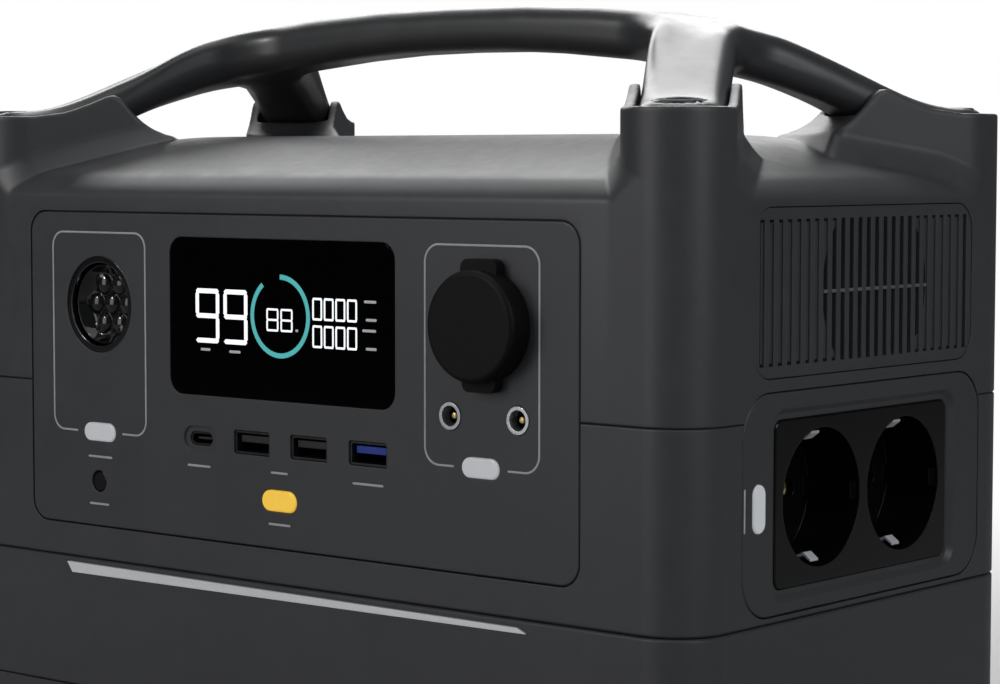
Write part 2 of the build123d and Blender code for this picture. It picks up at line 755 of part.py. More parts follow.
with BuildPart() as car_socket_contact:
    with BuildSketch(front(33.0)):
        circles([CAR], 3.0)
    extrude(amount=-14.0)
    fillet(car_socket_contact.faces().sort_by(Axis.Y)[0].edges(), 1.2)
piece(car_socket_contact, "car_socket_contact")

with BuildPart() as car_socket_cover:
    with BuildSketch(front(-0.3)):
        circles([CAR], 15.55)
    extrude(amount=7.7)
    fillet(car_socket_cover.faces().sort_by(Axis.Y)[0].edges(), 1.6)
    # tabs above and below
    with BuildSketch(front(-0.3)):
        rounded(Area(CAR[0], CAR[1] + 10.9, 13.0, 15.0, 2.5))
        rounded(Area(CAR[0], CAR[1] - 11.3, 12.0, 14.0, 2.5))
    extrude(amount=3.4)
    # disc that enters the barrel
    with BuildSketch(front(-0.4)):
        circles([CAR], 9.8)
    extrude(amount=-2.4)
piece(car_socket_cover, "car_socket_cover")

# ---------------------------------------------------------------- DC jacks
JACK_SIZE = 9.0
with BuildPart() as dc_jack_rings:
    with BuildSketch(front(-0.3)):
        rings(DC_JACKS, 3.9, 2.9)
    extrude(amount=-3.2)
piece(dc_jack_rings, "dc_jack_rings")

with BuildPart() as dc_jack_bodies:
    with BuildSketch(front(3.0)):
        rectangles(DC_JACKS, JACK_SIZE, JACK_SIZE)
        circles(DC_JACKS, 2.75, Mode.SUBTRACT)
    extrude(amount=-9.0)
    with BuildSketch(front(11.9)):
        rectangles(DC_JACKS, JACK_SIZE, JACK_SIZE)
    extrude(amount=-3.0)
piece(dc_jack_bodies, "dc_jack_bodies")

with BuildPart() as dc_jack_pins:
    with BuildSketch(front(1.4)):
        circles(DC_JACKS, 1.0)
    extrude(amount=-10.4)
    fillet(dc_jack_pins.faces().filter_by(Axis.Y).group_by(Axis.Y)[0].edges(), 0.5)
piece(dc_jack_pins, "dc_jack_pins")

# ---------------------------------------------------------------- main board
MAIN_BOARD = Area(0.75, 122, 213, 90, 2)
CHIPS = [(-44, 114), (-4, 120), (26, 130), (-80, 142)]
with BuildPart() as main_board:
    with BuildSketch(front(MAIN_BOARD_IN)):
        rounded(MAIN_BOARD)
        circles([CAR], 14.4, Mode.SUBTRACT)
        circles(BOARD_HOLES, 1.5, Mode.SUBTRACT)
    extrude(amount=-BOARD_T)
    with BuildSketch(front(MAIN_BOARD_IN + BOARD_T)):
        rectangles(CHIPS, 16, 12)
    extrude(amount=-4.0)
piece(main_board, "main_board")

with BuildPart() as board_screws:
    with BuildSketch(front(MAIN_BOARD_IN + BOARD_T + 0.1)):
        circles(BOARD_HOLES, 2.6)
    extrude(amount=-1.8)
    with BuildSketch(front(6.5)):
        circles(BOARD_HOLES, 1.2)
    extrude(amount=-11.6)
piece(board_screws, "board_screws")

# ================================================================ side grilles and fan
SLOT_PITCH, SLOT_W, SLOT_COUNT = 4.4, 2.2, 25
SLOT_H = GRILLE.height - 2 * 3.2
SLOT_Y = [GRILLE.across + (i - (SLOT_COUNT - 1) / 2) * SLOT_PITCH for i in range(SLOT_COUNT)]
SLOT_GROOVE = 1.6                   # groove depth, measured from the side face
THROUGH_LO = GRILLE.up - SLOT_H / 2 + 1
THROUGH_HI = GRILLE.up + SLOT_H / 2 - 1
FAN = FAN_Y, FAN_Z = 5.8, 151.5
FAN_OPEN_R = 32.0
FAN_X0, FAN_X1, FAN_SIZE = 112.0, 128.0, 58.0
HALF_RIB = 0.7                      # half height of the rib left across the fan opening


def chord(y):
    """Half height of the fan opening at side position y."""
    squared = FAN_OPEN_R ** 2 - (y - FAN_Y) ** 2
    return math.sqrt(squared) if squared > 0 else 0.0


def through_slots():
    """Upright spans cut right through the grille, as (y, bottom, top)."""
    spans = []
    for y in SLOT_Y:
        half = chord(y)
        if half > 6:
            spans.append((y, max(THROUGH_LO, FAN_Z - half), FAN_Z - HALF_RIB))
            spans.append((y, FAN_Z + HALF_RIB, min(THROUGH_HI, FAN_Z + half)))
    return spans


def grille(name, outward):
    """Grooved side grille; outward is +1 on the right and -1 on the left."""
    with BuildPart() as part:
        with BuildSketch(side(outward * (W / 2 - 2.5))):
            rounded(GRILLE)
        extrude(amount=outward * 2.3)
        with BuildSketch(side(outward * (W / 2 - 4.0))):
            rounded(GRILLE_OPENING.grown(-PLUG_FIT))
        extrude(amount=outward * 2.0)
        with BuildSketch(side(outward * (W / 2 - SLOT_GROOVE))):
            rectangles([(y, GRILLE.up) for y in SLOT_Y], SLOT_W, SLOT_H)
        extrude(amount=outward * 4, mode=Mode.SUBTRACT)
        with BuildSketch(side(outward * (W / 2 - 6))):
            for y, bottom, top in through_slots():
                rectangles([(y, (bottom + top) / 2)], SLOT_W, top - bottom)
        extrude(amount=outward * 10, mode=Mode.SUBTRACT)
    piece(part, name)


grille("right_grille", outward=1)
grille("left_grille", outward=-1)

with BuildPart() as fan_frame:
    with BuildSketch(side(FAN_X0)):
        with Locations(FAN):
            RectangleRounded(FAN_SIZE, FAN_SIZE, 4)
            Circle(27.5, mode=Mode.SUBTRACT)
            with GridLocations(50, 50, 2, 2):
                Circle(1.8, mode=Mode.SUBTRACT)
    extrude(amount=FAN_X1 - FAN_X0)
    # motor seat on three arms at the inner side, with the bearing spindle
    with BuildSketch(side(FAN_X0)):
        with Locations(FAN):
            Circle(11.0)
            with PolarLocations(0, 3, 30):
                with Locations((19, 0)):
                    Rectangle(20, 4)
    extrude(amount=2.0)
    with BuildSketch(side(FAN_X0 + 1.9)):
        circles([FAN], 1.5)
    extrude(amount=11.0)
piece(fan_frame, "fan_frame")

BLADES = 7
BLADE_TILT = math.radians(35)       # tilt of the blade chord from the plane of the fan
BLADE_ROOT_R, BLADE_SPAN = 10.6, 15.6
with BuildPart() as fan_rotor:
    with BuildSketch(side(FAN_X0 + 2.8)):
        circles([FAN], 11.5)
    extrude(amount=12.2)
    fillet(fan_rotor.faces().sort_by(Axis.X)[-1].edges(), 1.2)
    for k in range(BLADES):
        angle = math.radians(k * 360 / BLADES)
        blade_plane = Plane(
            origin=(FAN_X0 + 8.6, FAN_Y, FAN_Z),
            x_dir=(
                math.sin(BLADE_TILT),
                -math.cos(BLADE_TILT) * math.sin(angle),
                math.cos(BLADE_TILT) * math.cos(angle),
            ),
            z_dir=(0, math.cos(angle), math.sin(angle)),
        )
        with BuildSketch(blade_plane.offset(BLADE_ROOT_R)):
            Rectangle(13.0, 1.2)
        extrude(amount=BLADE_SPAN)
    # bore for the spindle
    with BuildSketch(side(FAN_X0 + 2.0)):
        circles([FAN], 1.57)
    extrude(amount=11.4, mode=Mode.SUBTRACT)
piece(fan_rotor, "fan_rotor")

# ================================================================ right side: mains outlets
# places on the side face, (y, z)
PLATE = Area(1.65, 93.9, 89.3, 46.4, 3.0)
PLATE_SINK = 1.1                    # depth of the outlet plate's face
OUTLETS = [(-20.1, 94.4), (22.6, 94.4)]
CUP_R, CUP_DEPTH = 19.4, 17.5
CUP_FLOOR = PLATE_SINK + CUP_DEPTH  # depth of the cup floor
CUP_FLOOR_T = 2.5
PIN_Y = 9.5                         # pin holes either side of the outlet centre
AC_BUTTON = Area(-52.5, 94.1, 5.7, 13.3)
AC_BUTTON_SPOT = (AC_BUTTON.across, AC_BUTTON.up)

with BuildPart() as ac_panel:
    with BuildSketch(right(SIDE_T)):
        rounded(TRAY)
    extrude(amount=SIDE_T)
    chamfer(ac_panel.faces().sort_by(Axis.X)[-1].edges(), 0.35)
    with BuildSketch(right(5.0)):
        rounded(TRAY_OPENING.grown(-PLUG_FIT))
    extrude(amount=PLUG_T)
    # bevelled recess round the outlet plate
    with BuildSketch(right(-0.01)):
        rounded(PLATE.grown(6.6, radius=6.0))
    with BuildSketch(right(1.6)):
        rounded(PLATE.grown(3.4, radius=4.4))
    loft(ruled=True, mode=Mode.SUBTRACT)
    with BuildSketch(right(8.0)):
        rounded(PLATE.grown(0.4))
        slot(AC_BUTTON, 2 * BUTTON_FIT)
    extrude(amount=10, mode=Mode.SUBTRACT)
piece(ac_panel, "ac_panel")

with BuildPart() as ac_socket_plate:
    with BuildSketch(right(5.0)):
        rounded(PLATE)
    extrude(amount=5.0 - PLATE_SINK)
    chamfer(ac_socket_plate.faces().sort_by(Axis.X)[-1].edges(), 0.4)
    with BuildSketch(right(CUP_FLOOR + CUP_FLOOR_T)):
        circles(OUTLETS, CUP_R + 1.6)
    extrude(amount=CUP_DEPTH)
    with BuildSketch(right(CUP_FLOOR)):
        circles(OUTLETS, CUP_R)
    extrude(amount=CUP_DEPTH + 5, mode=Mode.SUBTRACT)
    for y, z in OUTLETS:
        # guide ribs in line with the pin holes
        with BuildSketch(right(CUP_FLOOR + 0.1)):
            rectangles([(y - CUP_R + 1.0, z), (y + CUP_R - 1.0, z)], 2.6, 5.0)
        extrude(amount=CUP_DEPTH - 1.5)
        # pin holes, and slots for the earth clips above and below
        with BuildSketch(right(40)):
            circles([(y - PIN_Y, z), (y + PIN_Y, z)], 2.8)
            rectangles([(y, z - CUP_R + 1.2), (y, z + CUP_R - 1.2)], 4.6, 1.8)
        extrude(amount=30, mode=Mode.SUBTRACT)
piece(ac_socket_plate, "ac_socket_plate")

# earth clip in section: (x, distance above or below the outlet centre)
EARTH_CLIP = [
    (122.5, 17.9), (138.5, 17.9), (143.1, 15.8), (145.5, 17.6),
    (145.5, 18.3), (143.1, 16.7), (138.9, 18.6), (122.5, 18.6),
]
with BuildPart() as ac_earth_clips:
    for y, z in OUTLETS:
        for sign in (-1, 1):
            with BuildSketch(upright(y)):
                with BuildLine():
                    Polyline(*[(x, z + sign * away) for x, away in EARTH_CLIP], close=True)
                make_face()
            extrude(amount=2.0, both=True)
piece(ac_earth_clips, "ac_earth_clips")

with BuildPart() as ac_contacts:
    with BuildSketch(side(113.5)):
        rings([(y + sign * PIN_Y, z) for y, z in OUTLETS for sign in (-1, 1)], 3.4, 2.6)
    extrude(amount=14.0)
piece(ac_contacts, "ac_contacts")

with BuildPart() as ac_button:
    with BuildSketch(right(6.0)):
        slot(AC_BUTTON)
    extrude(amount=6.5)
    fillet(ac_button.faces().sort_by(Axis.X)[-1].edges(), BUTTON_EDGE)
piece(ac_button, "ac_button")

with BuildPart() as ac_switch:
    with BuildSketch(right(12.0)):
        rectangles([AC_BUTTON_SPOT], SWITCH_SIZE, SWITCH_SIZE)
    extrude(amount=3.4)
    with BuildSketch(right(8.7)):
        circles([AC_BUTTON_SPOT], SWITCH_STEM_R)
    extrude(amount=1.6)
    # carrier plate
    with BuildSketch(right(13.5)):
        rectangles([AC_BUTTON_SPOT], 9.0, 18.0)
    extrude(amount=1.5)
piece(ac_switch, "ac_switch")

# ================================================================ left side: charging inputs
# bodies and cover on the side face, (y, z)
INLET = Area(-16.0, 94.5, 27.8, 20.2, 1.8)
DC_IN = Area(30.0, 94.5, 17.0, 9.0, 1.8)
COVER = Area(6.0, 94.9, 92.0, 42.0, 5.8)
INPUT_IN = 2.4                      # depth of the front of both inputs
INLET_PINS = [
    (INLET.across - 7, INLET.up - 1.8),
    (INLET.across + 7, INLET.up - 1.8),
    (INLET.across, INLET.up + 2.4),
]
DC_PINS = [(DC_IN.across - 3.6, DC_IN.up), (DC_IN.across + 3.6, DC_IN.up)]

with BuildPart() as input_panel:
    with BuildSketch(left(0)):
        rounded(TRAY)
    extrude(amount=SIDE_T)
    chamfer(input_panel.faces().sort_by(Axis.X)[0].edges(), 0.35)
    with BuildSketch(left(1.5)):
        rounded(TRAY_OPENING.grown(-PLUG_FIT))
    extrude(amount=PLUG_T)
    with BuildSketch(left(-OVERCUT)):
        rounded(INLET.grown(0.4))
        rounded(DC_IN.grown(0.4))
    extrude(amount=12, mode=Mode.SUBTRACT)
    # seat for the cover
    with BuildSketch(left(-OVERCUT)):
        rounded(COVER.grown(0.8))
    extrude(amount=3.0, mode=Mode.SUBTRACT)
piece(input_panel, "input_panel")

with BuildPart() as ac_inlet:
    with BuildSketch(left(INPUT_IN)):
        rounded(INLET)
        rounded(INLET.grown(-3.2, radius=2.0), Mode.SUBTRACT)
    extrude(amount=16)
    with BuildSketch(left(INPUT_IN + 15.9)):
        rounded(INLET)
    extrude(amount=6)
    with BuildSketch(left(5.5)):
        rectangles(INLET_PINS, 2.0, 4.0)
    extrude(amount=13)
piece(ac_inlet, "ac_inlet")

with BuildPart() as dc_input:
    with BuildSketch(left(INPUT_IN)):
        rounded(DC_IN)
        circles(DC_PINS, 2.6, Mode.SUBTRACT)
    extrude(amount=14)
    with BuildSketch(left(INPUT_IN + 13.9)):
        rounded(DC_IN)
    extrude(amount=3)
    with BuildSketch(left(5)):
        circles(DC_PINS, 1.7)
    extrude(amount=12)
piece(dc_input, "dc_input")

with BuildPart() as input_cover:
    with BuildSketch(left(-0.1)):
        rounded(COVER)
    extrude(amount=1.9)
    # raised lip along the bottom
    with BuildSketch(left(-0.9)):
        rounded(Area(COVER.across, COVER.up - 19, 22.0, 3.4, 1.6))
    extrude(amount=1.0)
piece(input_cover, "input_cover")

# ================================================================ main battery and electronics
CELL_Z = 108.0
MAIN_GRID = (7, 4)                  # columns, rows of cells

with BuildPart() as battery_cells:
    with BuildSketch(upright(2)):
        cell_circles(CELL_Z, *MAIN_GRID, CELL_R)
    extrude(amount=-CELL_L)
piece(battery_cells, "battery_cells")

with BuildPart() as cell_holders:
    for y in (5, 58):
        with BuildSketch(upright(y)):
            rounded(Area(0, CELL_Z, 7 * CELL_PITCH + 5, 4 * CELL_PITCH + 5, 4))
            cell_circles(CELL_Z, *MAIN_GRID, CELL_BORE, Mode.SUBTRACT)
        extrude(amount=-HOLDER_T)
        # feet on the shell floor
        with BuildSketch(level(Z_MODULE + 3.4)):
            rectangles([(-50, y + HOLDER_T / 2), (50, y + HOLDER_T / 2)], 24, HOLDER_T)
        extrude(amount=3.4)
piece(cell_holders, "cell_holders")

BMS_Y = 70
with BuildPart() as bms_board:
    with BuildSketch(upright(BMS_Y)):
        rounded(Area(0, 108, 128, 74, 2))
    extrude(amount=-BOARD_T)
    # components on the rear face
    with BuildSketch(upright(BMS_Y + BOARD_T)):
        with Locations((0, 111)):
            with GridLocations(22, 30, 5, 2):
                Rectangle(11, 9)
    extrude(amount=-3.0)
piece(bms_board, "bms_board")

INVERTER_Z, INVERTER_T = 151.0, 1.8
INVERTER_Y = 20                     # centre line of the board and what stands on it
MOUNT_Z = 153.0                     # underside of the heat sink and transformer
with BuildPart() as inverter_board:
    with BuildSketch(level(INVERTER_Z)):
        rounded(Area(-4, INVERTER_Y, 190, 104, 3))
    extrude(amount=INVERTER_T)
    # three upright cylinders
    with BuildSketch(level(INVERTER_Z + INVERTER_T)):
        circles([(-80, 0), (-80, 22), (-80, 44)], 8.0)
    extrude(amount=24.0)
piece(inverter_board, "inverter_board")

SINK_SPOT, SINK_L = (48, INVERTER_Y), 78
with BuildPart() as heat_sink:
    with BuildSketch(level(MOUNT_Z)):
        rectangles([SINK_SPOT], SINK_L, 90)
    extrude(amount=3.0)
    # fins
    with BuildSketch(level(MOUNT_Z + 2.9)):
        with Locations(SINK_SPOT):
            with GridLocations(SINK_L, 7.2, 1, 12):
                Rectangle(SINK_L, 1.8)
    extrude(amount=22)
piece(heat_sink, "heat_sink")

with BuildPart() as transformer:
    with BuildSketch(level(MOUNT_Z)):
        rounded(Area(-34, INVERTER_Y, 44, 50, 2))
    extrude(amount=24)
    with BuildSketch(level(MOUNT_Z + 4)):
        rounded(Area(-34, INVERTER_Y, 50, 30, 6))
    extrude(amount=15)
piece(transformer, "transformer")

# centre line of both leads, (y, z)
LEAD_POINTS = [(75.5, 142), (76.6, 155), (71, 165), (64, 160), (62, 153.2)]
with BuildPart() as battery_leads:
    for x in (-66, -73):
        with BuildLine() as lead_path:
            Spline(*[(x, y, z) for y, z in LEAD_POINTS], tangents=((0, 0, 1), (0, 0, -1)))
        with BuildSketch(Plane(origin=lead_path.line @ 0, z_dir=lead_path.line % 0)):
            Circle(2.2)
        sweep(path=lead_path.line)
piece(battery_leads, "battery_leads")
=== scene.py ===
# A portable power station with a forked carrying handle, standing on the plane z = 0.
# x runs to the right, y to the back, z up; the front panel faces -y, the outlets face +x.
# Shapes are worked out in millimetres and become metres when a mesh is made.
import json
import math

import bmesh
import bpy
import numpy as np
from mathutils import Matrix, Vector


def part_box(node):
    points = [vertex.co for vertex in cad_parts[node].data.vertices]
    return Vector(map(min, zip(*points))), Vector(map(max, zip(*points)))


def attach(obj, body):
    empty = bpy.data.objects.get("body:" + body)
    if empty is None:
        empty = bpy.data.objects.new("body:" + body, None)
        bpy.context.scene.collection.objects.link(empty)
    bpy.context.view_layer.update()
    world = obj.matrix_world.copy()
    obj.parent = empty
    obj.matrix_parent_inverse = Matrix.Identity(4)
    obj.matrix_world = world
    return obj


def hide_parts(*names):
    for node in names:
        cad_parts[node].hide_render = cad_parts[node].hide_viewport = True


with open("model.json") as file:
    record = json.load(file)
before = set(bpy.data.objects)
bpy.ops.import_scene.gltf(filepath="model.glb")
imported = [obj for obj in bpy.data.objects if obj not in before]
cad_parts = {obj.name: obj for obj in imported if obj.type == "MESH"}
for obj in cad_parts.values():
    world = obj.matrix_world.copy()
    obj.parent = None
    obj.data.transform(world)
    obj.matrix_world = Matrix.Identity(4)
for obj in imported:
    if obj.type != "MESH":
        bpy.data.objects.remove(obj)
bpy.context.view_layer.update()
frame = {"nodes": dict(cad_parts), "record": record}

MM = 0.001


def box_mm(part):
    low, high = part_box(part)
    return np.array(low) * 1000, np.array(high) * 1000


def centre_of(part):
    low, high = box_mm(part)
    return (low + high) / 2


def face_rect(part, axis):
    """Centre (across, z) and size (across, z) of a part seen along the other level axis."""
    low, high = box_mm(part)
    centre, size = (low + high) / 2, high - low
    return centre[axis], centre[2], size[axis], size[2]


# ---------------------------------------------------------------- sizes, mm
shell_low, shell_high = box_mm("lower_shell")
HALF_W = float(shell_high[0] - shell_low[0]) / 2
HALF_D = float(shell_high[1] - shell_low[1]) / 2
FRONT = -HALF_D
CORNER_R = 15.5
Z_SPLIT = float(box_mm("upper_shell")[0][2])
Z_WALL = 175.7                  # top of the vertical walls
Z_BEND = 178.6                  # control height of the shoulder curve
Z_CREASE, INSET = 183.4, 7.8    # where the shoulder meets the lid
Z_CROWN = 195.2
POST_X, POST_Y = HALF_W - CORNER_R, HALF_D - CORNER_R
JOIN_X = 90.0                   # where the handle legs meet the bar
LEG_LEN = math.hypot(POST_X - JOIN_X, POST_Y)
LEG_DX, LEG_DY = -(POST_X - JOIN_X) / LEG_LEN, -POST_Y / LEG_LEN
LEG_R = 12.2                    # half width of legs and bar
LAMP_X, _, LAMP_Z = centre_of("lamp_reflector")


# ---------------------------------------------------------------- materials
def feed(node, inputs):
    """Links a socket, or sets a value, on each named or numbered input."""
    for key, value in inputs.items():
        if isinstance(value, bpy.types.NodeSocket):
            node.id_data.links.new(value, node.inputs[key])
        else:
            node.inputs[key].default_value = value


def add_node(tree, kind, inputs={}, out=0, **settings):
    """Adds a shader node and returns one of its outputs."""
    node = tree.nodes.new("ShaderNode" + kind)
    for key, value in settings.items():
        setattr(node, key, value)
    feed(node, inputs)
    return node.outputs[out]


def calc(tree, operation, a, b, **settings):
    return add_node(tree, "Math", {0: a, 1: b}, operation=operation, **settings)


def map_range(tree, value, start, end, **settings):
    inputs = {"Value": value, "From Min": start[0], "From Max": start[1],
              "To Min": end[0], "To Max": end[1]}
    return add_node(tree, "MapRange", inputs, **settings)


def finish(name, color, rough=0.42, rough_var=0.07, metal=0.0, spec=0.5, coat=0.0,
           coat_rough=0.2, tint=0.10, grain=1700.0, bump=0.12, stretch=(1, 1, 1),
           bevel=0.0005, wear=0.35, wear_gain=1.9, emit=0.0, emit_color=None):
    """Mottled colour (tint), fine grain (bump), uneven roughness (rough_var) and
    soft edges (bevel, in metres) worn lighter by wear_gain."""
    material = bpy.data.materials.new(name)
    material.use_nodes = True
    tree = material.node_tree
    coords = add_node(tree, "TexCoord", out="Object")
    coords = add_node(tree, "Mapping", {"Vector": coords, "Scale": stretch})

    def noise(scale, detail, roughness):
        return add_node(tree, "TexNoise", {"Vector": coords, "Scale": scale,
                                           "Detail": detail, "Roughness": roughness})

    broad = noise(scale=26.0, detail=5.0, roughness=0.6)
    fine = noise(scale=grain, detail=3.0, roughness=0.55)
    medium = noise(scale=210.0, detail=4.0, roughness=0.65)
    mottle = calc(tree, "MULTIPLY", calc(tree, "ADD", broad, medium), 0.5)
    span = (0.3, 0.7)           # the part of the noise range in use
    shade = map_range(tree, mottle, span, (1 - tint, 1 + tint))
    mottled = add_node(tree, "VectorMath", {0: color, "Scale": shade}, operation="SCALE")

    # edges are where the rounded normal leaves the true one; noise breaks up their wear
    rounded = add_node(tree, "Bevel", {"Radius": bevel}, samples=4)
    true_normal = add_node(tree, "NewGeometry", out="Normal")
    match = add_node(tree, "VectorMath", {0: rounded, 1: true_normal}, out="Value",
                     operation="DOT_PRODUCT")
    edge = map_range(tree, match, (0.992, 0.86), (0.0, 1.0))
    patches = calc(tree, "MULTIPLY", edge, medium)
    amount = calc(tree, "MULTIPLY", patches, wear * 2.0, use_clamp=True)
    worn = tuple(min(1.0, c * wear_gain + 0.01) for c in color) + (1.0,)
    final = add_node(tree, "Mix", {"Factor": amount, "A": mottled, "B": worn},
                     out="Result", data_type="RGBA")

    uneven = map_range(tree, mottle, span, (max(0.02, rough - rough_var), rough + rough_var))
    normal = add_node(tree, "Bump", {"Strength": bump, "Distance": 0.00004,
                                     "Height": fine, "Normal": rounded})
    shader = tree.nodes["Principled BSDF"]
    feed(shader, {"Base Color": final, "Roughness": uneven, "Normal": normal,
                  "Metallic": metal, "IOR": 1.5, "Specular IOR Level": spec,
                  "Coat Weight": coat, "Coat Roughness": coat_rough})
    if emit:
        feed(shader, {"Emission Color": emit_color + (1.0,), "Emission Strength": emit})
    return material


LOOKS = {
    "shell_plastic": dict(color=(0.050, 0.0510, 0.0550), rough=0.44, wear=0.30, bump=0.25),
    "panel_plastic": dict(color=(0.047, 0.0480, 0.0525), rough=0.46, wear=0.30, bump=0.25),
    "handle_plastic": dict(color=(0.038, 0.0385, 0.0405), rough=0.36, coat=0.12,
                           coat_rough=0.28, wear=0.2, bump=0.14, tint=0.08),
    # the silver accent glows faintly through emit: painted highlight, the accent is no lamp
    "accent_silver": dict(color=(0.78, 0.79, 0.80), metal=0.15, stretch=(0.06, 1, 1),
                          grain=2600, bump=0.25, wear_gain=1.3, bevel=0.0003,
                          emit=0.09, emit_color=(0.9, 0.92, 0.95)),
    "display_glass": dict(color=(0.0015, 0.0015, 0.0018), rough=0.12, rough_var=0.02,
                          bump=0.01, wear=0.1, spec=0.02),
    "black_gloss": dict(color=(0.0034, 0.0034, 0.0038), rough=0.15, rough_var=0.04,
                        coat=0.12, coat_rough=0.06, bump=0.03, wear=0.15, spec=0.22),
    "rubber_black": dict(color=(0.0030, 0.0031, 0.0036), rough=0.56, bump=0.35,
                         grain=1300, spec=0.16),
    # the silver buttons glow through emit: painted highlight, they are no lamps; the amber button and
    # the display are lit
    "button_silver": dict(color=(0.62, 0.63, 0.65), rough=0.32, coat=0.4, bump=0.06,
                          tint=0.04, wear=0.15, wear_gain=1.2,
                          emit=0.26, emit_color=(0.8, 0.82, 0.86)),
    "button_amber": dict(color=(0.86, 0.55, 0.07), rough=0.30, coat=0.4, bump=0.06,
                         tint=0.05, wear=0.15, wear_gain=1.2,
                         emit=0.55, emit_color=(1.0, 0.60, 0.06)),
    "lens_clear": dict(color=(0.003, 0.0032, 0.0036), rough=0.05, rough_var=0.03,
                       coat=0.25, coat_rough=0.03, bump=0.02, wear=0.2),
    "reflector": dict(color=(0.10, 0.10, 0.105), rough=0.14, rough_var=0.05, metal=1.0,
                      bump=0.03, tint=0.05),
    "port_metal": dict(color=(0.70, 0.71, 0.73), rough=0.26, metal=0.8, bump=0.10,
                       grain=2400, tint=0.05, bevel=0.0002),
    "steel": dict(color=(0.42, 0.43, 0.45), rough=0.34, metal=1.0, stretch=(1, 1, 0.3)),
    "brass": dict(color=(0.74, 0.55, 0.24), rough=0.28, metal=1.0, bump=0.08),
    "tongue_blue": dict(color=(0.012, 0.055, 0.42), rough=0.35, bump=0.06),
    "tongue_black": dict(color=(0.012, 0.012, 0.012), rough=0.45),
    "board_green": dict(color=(0.015, 0.11, 0.045), rough=0.35, coat=0.4, tint=0.15),
    "cell_wrap": dict(color=(0.05, 0.16, 0.36), rough=0.30, coat=0.3),
    "holder_plastic": dict(color=(0.022, 0.022, 0.023), rough=0.5),
    "aluminium_fin": dict(color=(0.66, 0.67, 0.68), rough=0.34, metal=1.0,
                          stretch=(0.1, 1, 1)),
    "transformer_tape": dict(color=(0.62, 0.46, 0.07), rough=0.4, coat=0.2),
    "cable_red": dict(color=(0.38, 0.02, 0.02), rough=0.5),
    "fan_plastic": dict(color=(0.008, 0.008, 0.009)),
    "print_grey": dict(color=(0.60, 0.605, 0.615), rough=0.5, bump=0.3, wear=0.0, tint=0.14),
    "lit_white": dict(color=(0.75, 0.77, 0.78), rough=0.4, bump=0.05, tint=0.06, wear=0.0,
                      emit=0.85, emit_color=(0.93, 0.96, 1.0)),
    "lit_dim": dict(color=(0.35, 0.35, 0.36), rough=0.4, bump=0.05, wear=0.0,
                    emit=0.22, emit_color=(0.9, 0.92, 1.0)),
    "lit_teal": dict(color=(0.08, 0.42, 0.42), rough=0.4, bump=0.05, tint=0.12, wear=0.0,
                     emit=0.42, emit_color=(0.09, 0.62, 0.62)),
    "usb_metal": dict(color=(0.045, 0.046, 0.049), rough=0.30, metal=0.7, bump=0.10,
                      grain=2400, tint=0.08, bevel=0.0002),
    "clip_metal": dict(color=(0.86, 0.87, 0.89), rough=0.38, metal=0.25, bump=0.10,
                       grain=2400, tint=0.06, bevel=0.0002),
    "rib_grey": dict(color=(0.13, 0.132, 0.138), rough=0.45, bump=0.2),
}
# parts that do not wear the finish their slot is named after
SPECIAL = {"usb_a_shells": "usb_metal", "usb_c_shell": "usb_metal",
           "ac_earth_clips": "clip_metal"}
MATERIALS = {name: finish(name, **look) for name, look in LOOKS.items()}


def dress_parts():
    slots = {s["node"]: s["material_slot"] for s in frame["record"]["subparts"]}
    for name, part in frame["nodes"].items():
        part.data.materials.clear()
        part.data.materials.append(MATERIALS[SPECIAL.get(name) or slots[name]])


# ---------------------------------------------------------------- meshes
def new_mesh(name, verts, faces):
    mesh = bpy.data.meshes.new(name)
    mesh.from_pydata((np.asarray(verts, float) * MM).tolist(), [],
                     [list(map(int, face)) for face in faces])
    return mesh


def new_object(name, data):
    obj = bpy.data.objects.new(name, data)
    bpy.context.scene.collection.objects.link(obj)
    return obj


def edit_mesh(mesh, change):
    bm = bmesh.new()
    bm.from_mesh(mesh)
    change(bm)
    bm.to_mesh(mesh)
    bm.free()


def face_outward(bm):
    bmesh.ops.recalc_face_normals(bm, faces=bm.faces)


def tidy(bm):
    """Closes pinholes and draws any edge that joins more than two faces into a point."""
    bmesh.ops.collapse(bm, edges=[e for e in bm.edges if len(e.link_faces) > 2])
    for _ in range(12):
        rim = [e for e in bm.edges if e.is_boundary]
        if not rim:
            break
        bmesh.ops.collapse(bm, edges=[min(rim, key=lambda e: e.calc_length())])
    face_outward(bm)


def shade(mesh, material, angle):
    mesh.shade_smooth()
    mesh.set_sharp_from_angle(angle=math.radians(angle))
    mesh.materials.append(material)


def piece(name, verts, faces, look, slot, angle=32.0):
    """A closed piece fixed to the housing."""
    mesh = new_mesh(name, verts, faces)
    mesh.validate()
    edit_mesh(mesh, tidy)
    shade(mesh, MATERIALS[look], angle)
    obj = new_object(name, mesh)
    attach(obj, "housing")
    return obj


def arc_points(cx, cz, radius, start, turn, steps):
    """Points on an arc, in degrees from the first axis."""
    angles = [math.radians(start + turn * i / steps) for i in range(steps + 1)]
    return [(cx + radius * math.cos(a), cz + radius * math.sin(a)) for a in angles]


def rounded_rect(cx, cz, width, height, radius, steps):
    dx, dz = width / 2 - radius, height / 2 - radius
    corners = ((dx, dz, 0), (-dx, dz, 90), (-dx, -dz, 180), (dx, -dz, 270))
    return [point for x, z, start in corners
            for point in arc_points(cx + x, cz + z, radius, start, 90, steps)]


def on_front(x, z, y):
    return (x, y, z)


def on_side(y, z, x):
    return (x, y, z)


